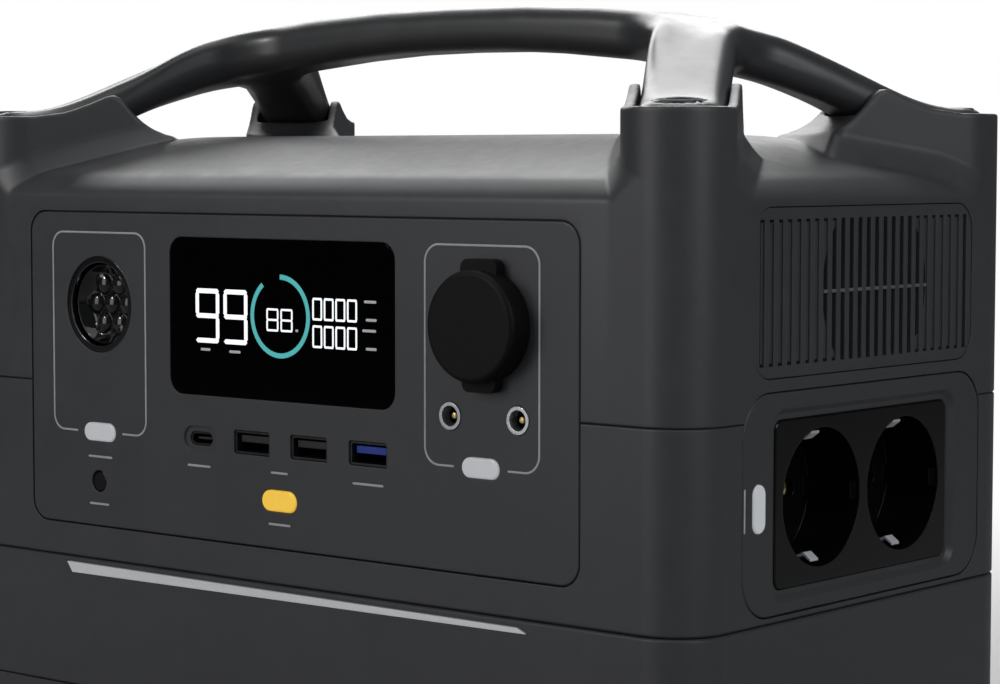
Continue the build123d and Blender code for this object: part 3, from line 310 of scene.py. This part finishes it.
class Prisms:
    """Collects prisms standing on the front (x, z) or side (y, z) plane into one mesh."""

    def __init__(self, place):
        self.place, self.verts, self.faces = place, [], []

    def rings(self, levels):
        """levels: (depth, outline) with equal counts, capped at both ends."""
        base, n = len(self.verts), len(levels[0][1])
        for depth, outline in levels:
            self.verts += [self.place(a, b, depth) for a, b in outline]
        last = base + (len(levels) - 1) * n
        for k in range(base, last, n):
            for i in range(n):
                j = (i + 1) % n
                self.faces.append((k + i, k + j, k + n + j, k + n + i))
        self.faces.append(tuple(base + i for i in range(n)))
        self.faces.append(tuple(last + i for i in reversed(range(n))))

    def prism(self, outline, start, end):
        self.rings([(start, outline), (end, outline)])

    def stroke(self, path, width, start, end):
        """An open line, as one closed strip."""
        path = np.array(path, float)
        along = np.gradient(path, axis=0)
        along /= np.linalg.norm(along, axis=1)[:, None]
        across = np.stack([-along[:, 1], along[:, 0]], 1) * width / 2
        base, n = len(self.verts), len(path)
        for depth in (start, end):
            for edge in (path + across, path - across):
                self.verts += [self.place(a, b, depth) for a, b in edge]
        p, q, r, s = (base + k * n for k in range(4))
        for i in range(n - 1):
            j = i + 1
            self.faces += [(p + i, p + j, q + j, q + i), (r + i, s + i, s + j, r + j),
                           (p + i, r + i, r + j, p + j), (q + i, q + j, s + j, s + i)]
        j = n - 1
        self.faces += [(p, q, s, r), (p + j, r + j, s + j, q + j)]

    def piece(self, name, look, slot, **options):
        return piece(name, self.verts, self.faces, look, slot, **options)


# ---------------------------------------------------------------- smooth solids
# A field is negative inside its solid and close to the distance in mm elsewhere.
def smooth_min(a, b, blend):
    h = np.maximum(blend - np.abs(a - b), 0) / blend
    return np.minimum(a, b) - h * h * blend * 0.25


def smooth_max(a, b, blend):
    return -smooth_min(-a, -b, blend)


def round_corner(p, q, radius):
    """Where p < 0 and q < 0, with the corner between them rounded."""
    p, q = p + radius, q + radius
    outside = np.hypot(np.maximum(p, 0), np.maximum(q, 0))
    return outside + np.minimum(np.maximum(p, q), 0) - radius


def surface_net(field, low, high, cell, open_bottom=False):
    """Quads of field = 0 inside a box: points, faces, and which points are on the bottom."""
    axes = [np.arange(low[i], high[i] + cell, cell) for i in range(3)]
    grid = np.meshgrid(*[a.astype(np.float32) for a in axes], indexing="ij", sparse=True)
    samples = np.asarray(field(*grid), np.float32)
    inside = samples < 0
    shape = tuple(k - 1 for k in inside.shape)
    count = np.zeros(shape, np.int8)
    corners = [(i, j, k) for i in (0, 1) for j in (0, 1) for k in (0, 1)]
    for i, j, k in corners:
        count += inside[i:shape[0] + i, j:shape[1] + j, k:shape[2] + k]
    active = (count > 0) & (count < 8)
    cells = np.argwhere(active)
    index = np.full(shape, -1, np.int64)
    index[active] = np.arange(len(cells))

    # each crossed cell gets a point at the mean of its edge crossings
    points, hits = np.zeros((len(cells), 3)), np.zeros(len(cells))
    for start in corners:
        for axis in range(3):
            if start[axis]:
                continue
            end = list(start)
            end[axis] = 1
            a, b = cells + np.array(start), cells + np.array(end)
            va, vb = samples[tuple(a.T)].astype(float), samples[tuple(b.T)].astype(float)
            crossed = (va < 0) != (vb < 0)
            crossing = a[crossed].astype(float)
            crossing[:, axis] += va[crossed] / (va[crossed] - vb[crossed])
            points[crossed] += crossing
            hits[crossed] += 1
    points = points / hits[:, None] * cell + np.array([a[0] for a in axes])
    bottom = cells[:, 2] == 0 if open_bottom else np.zeros(len(cells), bool)
    points[bottom, 2] = axes[2][0]

    # move the points down the gradient, at most 0.4 of a cell at a time
    probe = 0.02
    for _ in range(3):
        value = field(*points.T)
        slope = np.stack([field(*(points + shift).T) - field(*(points - shift).T)
                          for shift in np.eye(3) * probe], 1) / (2 * probe)
        slope[bottom, 2] = 0
        move = -value[:, None] * slope / np.maximum((slope ** 2).sum(1), 0.05)[:, None]
        size = np.linalg.norm(move, axis=1)
        move *= (np.minimum(size, 0.4 * cell) / np.maximum(size, 1e-9))[:, None]
        points += move

    # each crossed grid edge gets a quad between the four cells around it
    faces = []
    for axis in range(3):
        u, v = (axis + 1) % 3, (axis + 2) % 3
        edges = np.argwhere(np.diff(inside, axis=axis))
        edges = edges[(edges[:, u] > 0) & (edges[:, v] > 0)
                      & (edges[:, u] < shape[u]) & (edges[:, v] < shape[v])]
        quads = []
        for du, dv in ((0, 0), (-1, 0), (-1, -1), (0, -1)):
            around = edges.copy()
            around[:, u] += du
            around[:, v] += dv
            quads.append(index[tuple(around.T)])
        quads = np.stack(quads, 1)
        flip = ~inside[tuple(edges.T)]
        quads[flip] = quads[flip][:, ::-1]
        faces.append(quads)
    faces = np.concatenate(faces)
    return points, faces[(faces >= 0).all(1)], bottom


def smooth_curve(stations, sigma):
    """A function through the stations, softened by a Gaussian of width sigma."""
    step = 0.1
    xs, ys = np.array(stations, float).T
    t = np.arange(xs[0], xs[-1] + step, step)
    offsets = np.arange(-4 * sigma, 4 * sigma + step, step)
    weights = np.exp(-offsets * offsets / (2 * sigma * sigma))
    weights /= weights.sum()
    pad = len(offsets) // 2
    values = np.pad(np.interp(t, xs, ys), pad, mode="edge")
    values = np.convolve(values, weights, "same")[pad:pad + len(t)]
    return lambda q: np.interp(q, t, values).astype(np.asarray(q).dtype)


# (distance along the handle from its middle, z) of its top and underside
HANDLE_TOP = smooth_curve([
    (0, 235), (30, 234.7), (60, 233.2), (80, 231.3), (90, 229.4), (97, 226.8),
    (103.3, 223.4), (109.2, 219.0), (115, 214.4), (120.5, 209.8), (125.5, 206.0),
    (129.5, 203.9), (133, 203.4), (170, 203.4)], 1.8)
HANDLE_UNDER = smooth_curve([
    (0, 221.6), (22, 221.3), (45, 219.9), (72, 217.3), (90, 214.7), (99.4, 211.0),
    (110.2, 204.7), (117, 199.4), (126, 192.2), (131, 190.4), (170, 190.3)], 1.8)
# (distance along a leg from its corner, z) of the top of the raised collar around it
COLLAR_TOP = smooth_curve([
    (-30, 201.7), (2, 201.7), (12, 203.0), (19.7, 205.6), (25.6, 208.2), (28.2, 208.8),
    (30.6, 207.4), (33.6, 203.5), (37, 200.2), (40.6, 197.6), (44.6, 195.8), (60, 194)], 0.7)

# The shoulder is a quadratic curve from wall to crease, then runs on straight.
curve_t = np.linspace(0, 1, 60)
SHOULDER_Z = ((1 - curve_t) ** 2 * (Z_WALL + 0.1) + 2 * curve_t * (1 - curve_t) * Z_BEND
              + curve_t ** 2 * Z_CREASE)
SHOULDER_IN = INSET * curve_t ** 2
beyond = np.arange(1, 40)
LONG_Z = np.concatenate([SHOULDER_Z, Z_CREASE + beyond])
LONG_IN = np.concatenate([SHOULDER_IN, INSET + beyond * INSET / (Z_CREASE - Z_BEND)])


# Every field mirrors about both middle planes, so most helpers take |x| and |y|.
def leg_frame(x, y):
    """Distance along a leg from its corner, and offset across it."""
    along = (x - POST_X) * LEG_DX + (y - POST_Y) * LEG_DY
    across = (x - POST_X) * LEG_DY - (y - POST_Y) * LEG_DX
    return along, across


def handle_station(x, y):
    """Position along the handle: |x| on the bar, turning to follow each leg's own line."""
    on_leg = POST_X + LEG_DX * leg_frame(x, y)[0]
    turn = np.clip((x - 84) / 26, 0, 1)
    turn = turn * turn * (3 - 2 * turn)
    return x * (1 - turn) + on_leg * turn


def bullet(along, across, radius):
    """A strip with a round end at along = 0."""
    return np.where(along < 0, np.hypot(along, across), np.abs(across)) - radius


def plan_field(x, y):
    return round_corner(x - HALF_W, y - HALF_D, CORNER_R)


def shoulder_inset(z):
    return np.interp(z, LONG_Z, LONG_IN, left=0.0)


def lid_height(x, y):
    run = 42.2                  # length scale of the rise from the crease
    inward = smooth_min(HALF_W - x, HALF_D - y, 22.0)
    rise = (inward - INSET) / run
    return Z_CREASE + (Z_CROWN - Z_CREASE) * smooth_min(1.12 * rise, 1.0, 0.3)


def body_field(x, y, z):
    inset = shoulder_inset(z)
    slope = (shoulder_inset(z + 0.05) - inset) / 0.05
    side = (plan_field(x, y) + inset) / np.sqrt(1 + slope ** 2)
    return smooth_max(side, (z - lid_height(x, y)) * 0.96, 0.7)


def skin_field(x, y, z):
    """Upper shell: body and leg collars, less the leg channels and the hollow inside."""
    collar_end, channel_end = 43.5, 62.0
    clearance, thickness = 0.35, 3.6
    x, y = np.abs(x), np.abs(y)
    body = body_field(x, y, z)
    plan = plan_field(x, y)
    along, across = leg_frame(x, y)
    base = np.where(-plan < INSET, np.interp(-plan, SHOULDER_IN, SHOULDER_Z), lid_height(x, y))
    # the collar foot spreads over its lowest 6.6 mm, by 3.3 growing to 5.0 mm
    ramp = np.clip((along + 4) / 26, 0, 1)
    flare = (3.3 + 1.7 * ramp) * np.clip(1 - (z - base) / 6.6, 0, 1.2) ** 1.28
    collar = smooth_max(bullet(along, across, CORNER_R), along - collar_end, 3.5)
    collar = smooth_max(collar - flare, z - COLLAR_TOP(along), 1.0)
    solid = smooth_min(body, collar, 0.6)
    channel = np.maximum(bullet(along, across, LEG_R + clearance), along - channel_end)
    channel = smooth_max(channel, HANDLE_UNDER(handle_station(x, y)) - 0.5 - z, 0.8)
    solid = smooth_max(solid, -channel, 0.7)
    solid = np.maximum(solid, plan)
    return np.maximum(solid, -(body + thickness))


def strip(x, y, x0, y0, x1, y1):
    """A strip of the leg's width between two points in plan."""
    dx, dy = x1 - x0, y1 - y0
    k = np.clip(((x - x0) * dx + (y - y0) * dy) / (dx * dx + dy * dy), 0, 1)
    return np.hypot(x - x0 - k * dx, y - y0 - k * dy) - LEG_R


def handle_field(x, y, z):
    edge_r = 5.6
    slot_half, slot_r, slot_floor = 1.8, 7.2, 201.2
    x, y = np.abs(x), np.abs(y)
    near_leg = strip(x, y, POST_X, POST_Y, JOIN_X, 0.0)
    far_leg = strip(x, -y, POST_X, POST_Y, JOIN_X, 0.0)
    bar = strip(x, y, 0.0, 0.0, JOIN_X, 0.0)
    plan = smooth_min(smooth_min(near_leg, far_leg, 12.0), bar, 9.0)
    station = handle_station(x, y)
    section = np.maximum(z - HANDLE_TOP(station), HANDLE_UNDER(station) - z) * 0.88
    solid = round_corner(plan, section, edge_r)
    # a slot sunk into the top of each leg at its corner
    along, across = leg_frame(x, y)
    slot = np.hypot(np.maximum(np.abs(along) - slot_half, 0), across) - slot_r
    return np.maximum(solid, -np.maximum(slot, slot_floor - z))


# ---------------------------------------------------------------- upper shell
def bottom_edges(faces, bottom):
    """Directed boundary edges between points on the open bottom."""
    edges = np.concatenate([faces[:, [i, (i + 1) % 4]] for i in range(4)])
    ends = np.sort(edges, 1)
    code = ends[:, 0] * (faces.max() + 1) + ends[:, 1]
    _, first, count = np.unique(code, return_index=True, return_counts=True)
    edges = edges[first[count == 1]]
    return edges[bottom[edges].all(1)]


def shell_mesh():
    """The skin, carried down to the split with a chamfered outer edge, then closed."""
    chamfer, margin, probe = 0.4, 1.1, 0.05
    points, faces, bottom = surface_net(
        skin_field, (-HALF_W - margin, FRONT - margin, Z_WALL),
        (HALF_W + margin, HALF_D + margin, 210.5), 0.75, open_bottom=True)
    edges = bottom_edges(faces, bottom)
    rim = np.unique(edges)
    px, py = points[rim, 0], points[rim, 1]
    x, y = np.abs(px), np.abs(py)
    outer = plan_field(x, y) > -1.5
    nx = (plan_field(np.abs(px + probe), y) - plan_field(np.abs(px - probe), y)) / (2 * probe)
    ny = (plan_field(x, np.abs(py + probe)) - plan_field(x, np.abs(py - probe))) / (2 * probe)
    n = len(rim)
    upper = np.stack([px, py, np.full(n, Z_SPLIT + chamfer)], 1)
    lower = np.stack([px - nx * chamfer * outer, py - ny * chamfer * outer,
                      np.full(n, Z_SPLIT)], 1)
    start = len(points)
    walls = []
    for (a, b), (i, j) in zip(edges, start + np.searchsorted(rim, edges)):
        walls += [(b, a, i, j), (j, i, n + i, n + j)]
    mesh = new_mesh("upper_shell_skin", np.concatenate([points, upper, lower]),
                    list(faces) + walls)

    def close(bm):
        limit = (Z_SPLIT + 0.05) * MM
        rims = [e for e in bm.edges if e.is_boundary and min(v.co.z for v in e.verts) < limit]
        bmesh.ops.bridge_loops(bm, edges=rims)
        tidy(bm)

    edit_mesh(mesh, close)
    return mesh


def pocket(cutter, rect, face, inward, grow, shrink, outer_r, inner_r):
    """A shallow recess around a part, with a smaller hole through its floor."""
    a, z, width, height = rect
    wide = rounded_rect(a, z, width + grow, height + grow, outer_r, 10)
    narrow = rounded_rect(a, z, width - shrink, height - shrink, inner_r, 10)
    ledge = face + inward * 2.6
    cutter.rings([(face - inward * 2, wide), (ledge, wide),
                  (ledge, narrow), (face + inward * 8, narrow)])


def pockets():
    cutter = Prisms(on_front)
    pocket(cutter, face_rect("front_panel", 0), FRONT, 1,
           grow=0.8, shrink=6, outer_r=6.9, inner_r=4.0)
    cutter.place = on_side
    for side, panel, grille in ((1, "ac_panel", "right_grille"),
                                (-1, "input_panel", "left_grille")):
        pocket(cutter, face_rect(panel, 1), side * HALF_W, -side,
               grow=0.8, shrink=6.0, outer_r=12.4, inner_r=9.0)
        pocket(cutter, face_rect(grille, 1), side * HALF_W, -side,
               grow=0.6, shrink=6.6, outer_r=8.3, inner_r=5.0)
    mesh = new_mesh("pockets", cutter.verts, cutter.faces)
    edit_mesh(mesh, face_outward)
    return new_object("pockets", mesh)


def upper_shell():
    shell = new_object("upper_shell_skin", shell_mesh())
    cutter = pockets()
    cut = shell.modifiers.new("cut", "BOOLEAN")
    cut.operation, cut.object, cut.solver = "DIFFERENCE", cutter, "EXACT"
    bpy.context.view_layer.update()
    depsgraph = bpy.context.evaluated_depsgraph_get()
    mesh = bpy.data.meshes.new_from_object(shell.evaluated_get(depsgraph))
    shell.modifiers.clear()
    shell.data = mesh
    bpy.data.objects.remove(cutter)
    edit_mesh(mesh, tidy)
    mesh.name = "upper_shell_skin"
    mesh.materials.clear()
    shade(mesh, MATERIALS["shell_plastic"], 40)
    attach(shell, "housing")
    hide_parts("upper_shell")


def handle():
    reach_x, reach_y = POST_X + LEG_R + 1.5, POST_Y + LEG_R + 1.5
    points, faces, _ = surface_net(handle_field, (-reach_x, -reach_y, 188.5),
                                   (reach_x, reach_y, 237.0), 0.8)
    obj = piece("handle_skin", points, faces, "handle_plastic", "handle_plastic", angle=50)
    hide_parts("handle")


# ---------------------------------------------------------------- printed lines and marks
def open_frame(x0, x1, z0, z1, radius, gap_x, half_gap):
    """A rounded frame line that starts and ends either side of a gap in its lower edge."""
    gap0, gap1 = gap_x - half_gap, gap_x + half_gap
    left, right, low, high = x0 + radius, x1 - radius, z0 + radius, z1 - radius
    path = [(gap0, z0), ((gap0 + left) / 2, z0)]
    for x, z, start in ((left, low, 270), (left, high, 180), (right, high, 90), (right, low, 0)):
        path += arc_points(x, z, radius, start, -90, 10)
    return path + [((gap1 + right) / 2, z0), (gap1, z0)]


def panel_lines():
    """One frame around the lamp and one around the DC outlets, each open at its button."""
    light_x, _, light_z = centre_of("light_button")
    dc_x, _, dc_z = centre_of("dc_button")
    lines = Prisms(on_front)
    for path in (open_frame(LAMP_X - 21.5, LAMP_X + 21.2, light_z, LAMP_Z + 22.5,
                            radius=4.6, gap_x=light_x, half_gap=10.4),
                 open_frame(dc_x - 20.5, dc_x + 20.9, dc_z - 0.1, LAMP_Z + 21.7,
                            radius=5.0, gap_x=dc_x, half_gap=9.8)):
        lines.stroke(path, 0.62, FRONT - 0.05, FRONT + 0.15)
    lines.piece("panel_lines", "print_grey", "button_silver")


def port_marks():
    """Short bars below the ports and buttons, and one upright beside the AC button."""
    thick, radius = 0.7, 0.33
    # part below which the bar is centred, x shift, part that sets z, drop, bar length
    table = (("light_button", 0, "light_button", 7.8, 11), ("reset_button", 0, "reset_button", 7.2, 9),
             ("usb_c_shell", -0.6, "usb_c_shell", 8.3, 10),
             ("usb_power_button", 0, "usb_c_shell", 8.0, 7),
             ("usb_fast_tongue", 0, "usb_c_shell", 8.6, 12),
             ("usb_power_button", 0, "usb_power_button", 7.0, 9))
    marks = Prisms(on_front)
    for x_part, shift, z_part, drop, length in table:
        x, z = centre_of(x_part)[0] + shift, centre_of(z_part)[2] - drop
        bar = rounded_rect(x, z, length, thick, radius, 3)
        marks.prism(bar, FRONT - 0.04, FRONT + 0.12)
    marks.piece("port_marks", "print_grey", "button_silver")

    _, y, z = centre_of("ac_button")
    mark = Prisms(on_side)
    mark.prism(rounded_rect(y - 6.6, z, thick, 12, radius, 3), HALF_W - 0.12, HALF_W + 0.04)
    mark.piece("outlet_mark", "print_grey", "button_silver")


# ---------------------------------------------------------------- display
window_low, window_high = box_mm("display_window")
SHOW_X = (window_low[0] + window_high[0]) / 2 + 0.4
SHOW_Z = (window_low[2] + window_high[2]) / 2
SHOW_DEPTH = (window_low[1] - 0.03, window_low[1] + 0.10)
SEGMENTS = {"0": "adfb", "8": "abcdefg", "9": "abcfgd"}
# figure, x and z of its lower left corner from the display centre, width, height, bar
FIGURES = [("9", -35.4, -7.9, 10.2, 16.4, 1.45), ("9", -23.4, -7.9, 10.2, 16.4, 1.45),
           ("8", -5.3, -3.3, 5.0, 6.8, 0.62), ("8", 0.5, -3.3, 5.0, 6.8, 0.62)]
FIGURES += [("0", 13.5 + 4.6 * k, z, 4.0, 6.6, 0.66) for k in range(4) for z in (0.6, -7.4)]
# x, z from the display centre, and length
DIM_BARS = ((36.4, 6.7, 4.8), (36.8, 1.5, 4.2), (36.0, -1.6, 5.4), (36.8, -6.8, 4.2),
            (-31.2, -9.9, 4.2), (-18.6, -10.1, 4.8), (7.2, -2.7, 1.2))


def digit(shape, figure, x, z, width, height, bar):
    """A seven-segment figure; a nought has unbroken sides."""
    gap, half = bar * 0.10, bar * 0.5
    right, middle, top = x + width, z + height / 2, z + height - half

    def level(zc):
        a, b = x + gap, right - gap
        return [(a + half, zc + half), (a, zc), (a + half, zc - half),
                (b - half, zc - half), (b, zc), (b - half, zc + half)]

    def upright(xc, z0, z1):
        a, b = z0 + gap, z1 - gap
        return [(xc - half, a + half), (xc, a), (xc + half, a + half),
                (xc + half, b - half), (xc, b), (xc - half, b - half)]

    side_foot = z + half if figure == "0" else middle
    outlines = {
        "a": level(top), "g": level(middle), "d": level(z + half),
        "f": upright(x + half, side_foot, top), "b": upright(right - half, side_foot, top),
        "e": upright(x + half, z + half, middle), "c": upright(right - half, z + half, middle),
    }
    for segment in SEGMENTS[figure]:
        shape.prism(outlines[segment], *SHOW_DEPTH)


def display():
    figures, bars, ring = Prisms(on_front), Prisms(on_front), Prisms(on_front)
    for figure, x, z, width, height, bar in FIGURES:
        digit(figures, figure, SHOW_X + x, SHOW_Z + z, width, height, bar)
    figures.piece("display_figures", "lit_white", "button_silver", angle=20)
    for x, z, length in DIM_BARS:
        bars.prism(rounded_rect(SHOW_X + x, SHOW_Z + z, length, 0.8, 0.38, 3), *SHOW_DEPTH)
    bars.piece("display_marks", "lit_dim", "button_silver", angle=20)
    # an open ring, clockwise from its top
    path = [(SHOW_X + 0.3 + 11.5 * math.sin(a), SHOW_Z + 1.2 + 11.6 * math.cos(a))
            for a in np.radians(np.linspace(0, 322, 120))]
    ring.stroke(path, 1.5, *SHOW_DEPTH)
    ring.piece("display_ring", "lit_teal", "button_silver", angle=20)


# ---------------------------------------------------------------- lamp
lens_low, lens_high = box_mm("lamp_lens")
LENS_R = float(lens_high[0] - lens_low[0]) / 2 - 0.15
DOME_R, DOME_PITCH = 3.35, 7.1
DISH_FLAT, DISH_DEPTH = 8.6, 5.6    # radius and depth of the flat middle of the dish
DOMES = [(0.0, 0.0)] + arc_points(0.0, 0.0, DOME_PITCH, 0, 300, 5)


def lens_depth(x, z):
    """Depth of the seven domes and their dish behind the front plane."""
    outward = max(0.0, (math.hypot(x, z) - DISH_FLAT) / (LENS_R - DISH_FLAT))
    dish = DISH_DEPTH - 3.6 * outward ** 1.6
    best = dish
    for dome_x, dome_z in DOMES:
        q = math.hypot(x - dome_x, z - dome_z) / DOME_R
        if q < 1:
            best = min(best, dish + 0.05 - 1.9 * math.sqrt(1 - q ** 2))
    return best


def lamp_cluster():
    rows, cols = 60, 168
    verts, faces = [], []
    for i in range(1, rows + 1):
        for j in range(cols):
            r, a = LENS_R * i / rows, 2 * math.pi * j / cols
            x, z = r * math.cos(a), r * math.sin(a)
            verts.append((LAMP_X + x, FRONT + lens_depth(x, z), LAMP_Z + z))
    rim, tip = (rows - 1) * cols, rows * cols
    back = tip + 1
    verts.append((LAMP_X, FRONT + lens_depth(0, 0), LAMP_Z))
    verts += [(x, FRONT + 6.1, z) for x, _, z in verts[rim:tip]]
    ring = [(j, (j + 1) % cols) for j in range(cols)]
    for i in range(0, rim, cols):
        faces += [(i + j, i + k, i + cols + k, i + cols + j) for j, k in ring]
    faces += [(tip, k, j) for j, k in ring]
    faces += [(rim + j, rim + k, back + k, back + j) for j, k in ring]
    faces.append(tuple(back + j for j in range(cols)))
    obj = piece("lamp_cluster", verts, faces, "lens_clear", "lens_clear", angle=45)
    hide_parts("lamp_lens")


# ---------------------------------------------------------------- right grille
def grille_parts():
    """A level rib across the fan, and a plate behind the grille, open around the fan."""
    inner_x, outer_x = (corner[0] for corner in box_mm("right_grille"))
    y, z, width, height = face_rect("right_grille", 1)
    half_w, half_h = (width - 8) / 2, (height - 8) / 2
    fan_y, fan_z, _, fan_size = face_rect("fan_rotor", 1)
    fan_r = fan_size / 2 + 0.5

    a0, a1 = fan_y - fan_r + 0.3, fan_y + fan_r - 0.3
    z0, z1 = fan_z - 0.45, fan_z + 0.45
    rib = Prisms(on_side)
    rib.prism([(a0, z0), (a1, z0), (a1, z1), (a0, z1)], outer_x - 2.2, outer_x - 0.02)
    rib.piece("grille_rib", "rib_grey", "shell_plastic", angle=30)

    plate = Prisms(on_side)
    limit = math.asin(min(1.0, half_h / fan_r))
    for side in (-1, 1):
        edge = y + side * half_w
        arc = [(fan_y + side * fan_r * math.cos(a), z + fan_r * math.sin(a))
               for a in np.linspace(-limit, limit, 33)]
        plate.prism([(edge, z - half_h)] + arc + [(edge, z + half_h)],
                    outer_x - 0.5, inner_x - 0.6)
    plate.piece("grille_backing", "shell_plastic", "shell_plastic", angle=30)


# ---------------------------------------------------------------- stage, light and camera
def floor_paper():
    """Pale paper, darker in bounced light, fading to pure white away from the product."""
    material = bpy.data.materials.new("floor_paper")
    material.use_nodes = True
    tree = material.node_tree
    noise = add_node(tree, "TexNoise", {"Scale": 60.0, "Detail": 4.0})
    pale = map_range(tree, noise, (0.0, 1.0), (0.88, 0.93))
    camera_ray = add_node(tree, "LightPath", out="Is Camera Ray")
    tone = add_node(tree, "Mix", {"Factor": camera_ray, "A": 0.35, "B": pale},
                    out="Result", data_type="FLOAT")
    paper = tree.nodes["Principled BSDF"]
    feed(paper, {"Base Color": tone, "Roughness": 0.85, "Specular IOR Level": 0.1})
    coords = add_node(tree, "TexCoord", out="Object")
    distance = add_node(tree, "VectorMath", {0: coords}, out="Value", operation="LENGTH")
    fade = map_range(tree, distance, (0.16, 0.75), (0.0, 1.0), interpolation_type="SMOOTHSTEP")
    seen_far = calc(tree, "MULTIPLY", fade, camera_ray)
    white = add_node(tree, "Emission", {"Strength": 1.0})
    both = add_node(tree, "MixShader", {"Fac": seen_far, 1: paper.outputs[0], 2: white})
    feed(tree.nodes["Material Output"], {"Surface": both})
    return material


def floor():
    sides, radius, z = 64, 9000, -0.2
    verts = [(0, 0, z)] + [(radius * math.cos(a), radius * math.sin(a), z)
                           for a in np.linspace(0, 2 * math.pi, sides + 1)[:-1]]
    faces = [(0, 1 + i, 1 + (i + 1) % sides) for i in range(sides)]
    mesh = new_mesh("floor", verts, faces)
    mesh.validate()
    shade(mesh, floor_paper(), 32)
    new_object("floor", mesh)


def studio_world():
    """White to the camera, a faint cool fill to everything else."""
    world = bpy.data.worlds.new("studio")
    bpy.context.scene.world = world
    world.use_nodes = True
    tree = world.node_tree
    tree.nodes.clear()
    output = tree.nodes.new("ShaderNodeOutputWorld")
    camera_ray = add_node(tree, "LightPath", out="Is Camera Ray")
    seen = add_node(tree, "Background", {"Color": (1, 1, 1, 1), "Strength": 1.0})
    fill = add_node(tree, "Background", {"Color": (0.90, 0.95, 1.0, 1), "Strength": 0.10})
    mix = add_node(tree, "MixShader", {"Fac": camera_ray, 1: fill, 2: seen})
    feed(output, {"Surface": mix})


def softbox(name, azimuth, elevation, distance, size, radiance, color=(1, 1, 1),
            aim=(0, 0, 0.13), diffuse=True):
    """An area light, in metres, seen from aim at an azimuth (0 = front, 90 = right)."""
    a, e = math.radians(azimuth), math.radians(elevation)
    toward = Vector((math.sin(a) * math.cos(e), -math.cos(a) * math.cos(e), math.sin(e)))
    light = bpy.data.lights.new(name, "AREA")
    light.shape = "RECTANGLE"
    light.size, light.size_y = size
    light.energy = radiance * math.pi * size[0] * size[1]
    light.color = color
    obj = new_object(name, light)
    obj.location = Vector(aim) + toward * distance
    obj.rotation_euler = toward.to_track_quat("Z", "Y").to_euler()
    obj.visible_camera = False
    obj.visible_diffuse = diffuse


def lights():
    softbox("front_box", azimuth=-19, elevation=13, distance=1.45, size=(0.75, 1.1),
            radiance=1.95)
    softbox("right_box", azimuth=84, elevation=24, distance=0.75, size=(0.35, 0.6),
            radiance=3.1, color=(0.95, 0.97, 1.0), aim=(0.15, -0.08, 0.2))
    softbox("top_box", azimuth=20, elevation=80, distance=1.5, size=(1.1, 1.1), radiance=1.0)
    softbox("back_box", azimuth=229, elevation=32, distance=1.7, size=(1.7, 0.75),
            radiance=4.4)
    softbox("leg_glow", azimuth=216.6, elevation=58, distance=1.25, size=(0.75, 0.6),
            radiance=6.2, aim=(0.112, -0.034, 0.215), diffuse=False)
    softbox("sparkle", azimuth=-22, elevation=34, distance=1.5, size=(0.14, 0.14),
            radiance=75.0, diffuse=False)


def camera():
    data = bpy.data.cameras.new("camera")
    data.sensor_fit, data.sensor_width, data.lens = "HORIZONTAL", 36.0, 96.327
    data.clip_start, data.clip_end = 0.01, 50.0
    obj = new_object("camera", data)
    forward = Vector((-0.6417, 0.7640, -0.06732)).normalized()
    right = Vector((0.7657, 0.6432, 0.00087))
    right = (right - forward * right.dot(forward)).normalized()
    place = Vector((0.554485, -0.643233, 0.187209))
    columns = (right, right.cross(forward), -forward, place)
    obj.matrix_world = Matrix([[c[i] for c in columns] for i in range(3)] + [[0, 0, 0, 1]])
    bpy.context.scene.camera = obj


dress_parts()
upper_shell()
handle()
panel_lines()
port_marks()
display()
lamp_cluster()
grille_parts()
floor()
studio_world()
bpy.context.scene.view_settings.view_transform = "Standard"
lights()
camera()
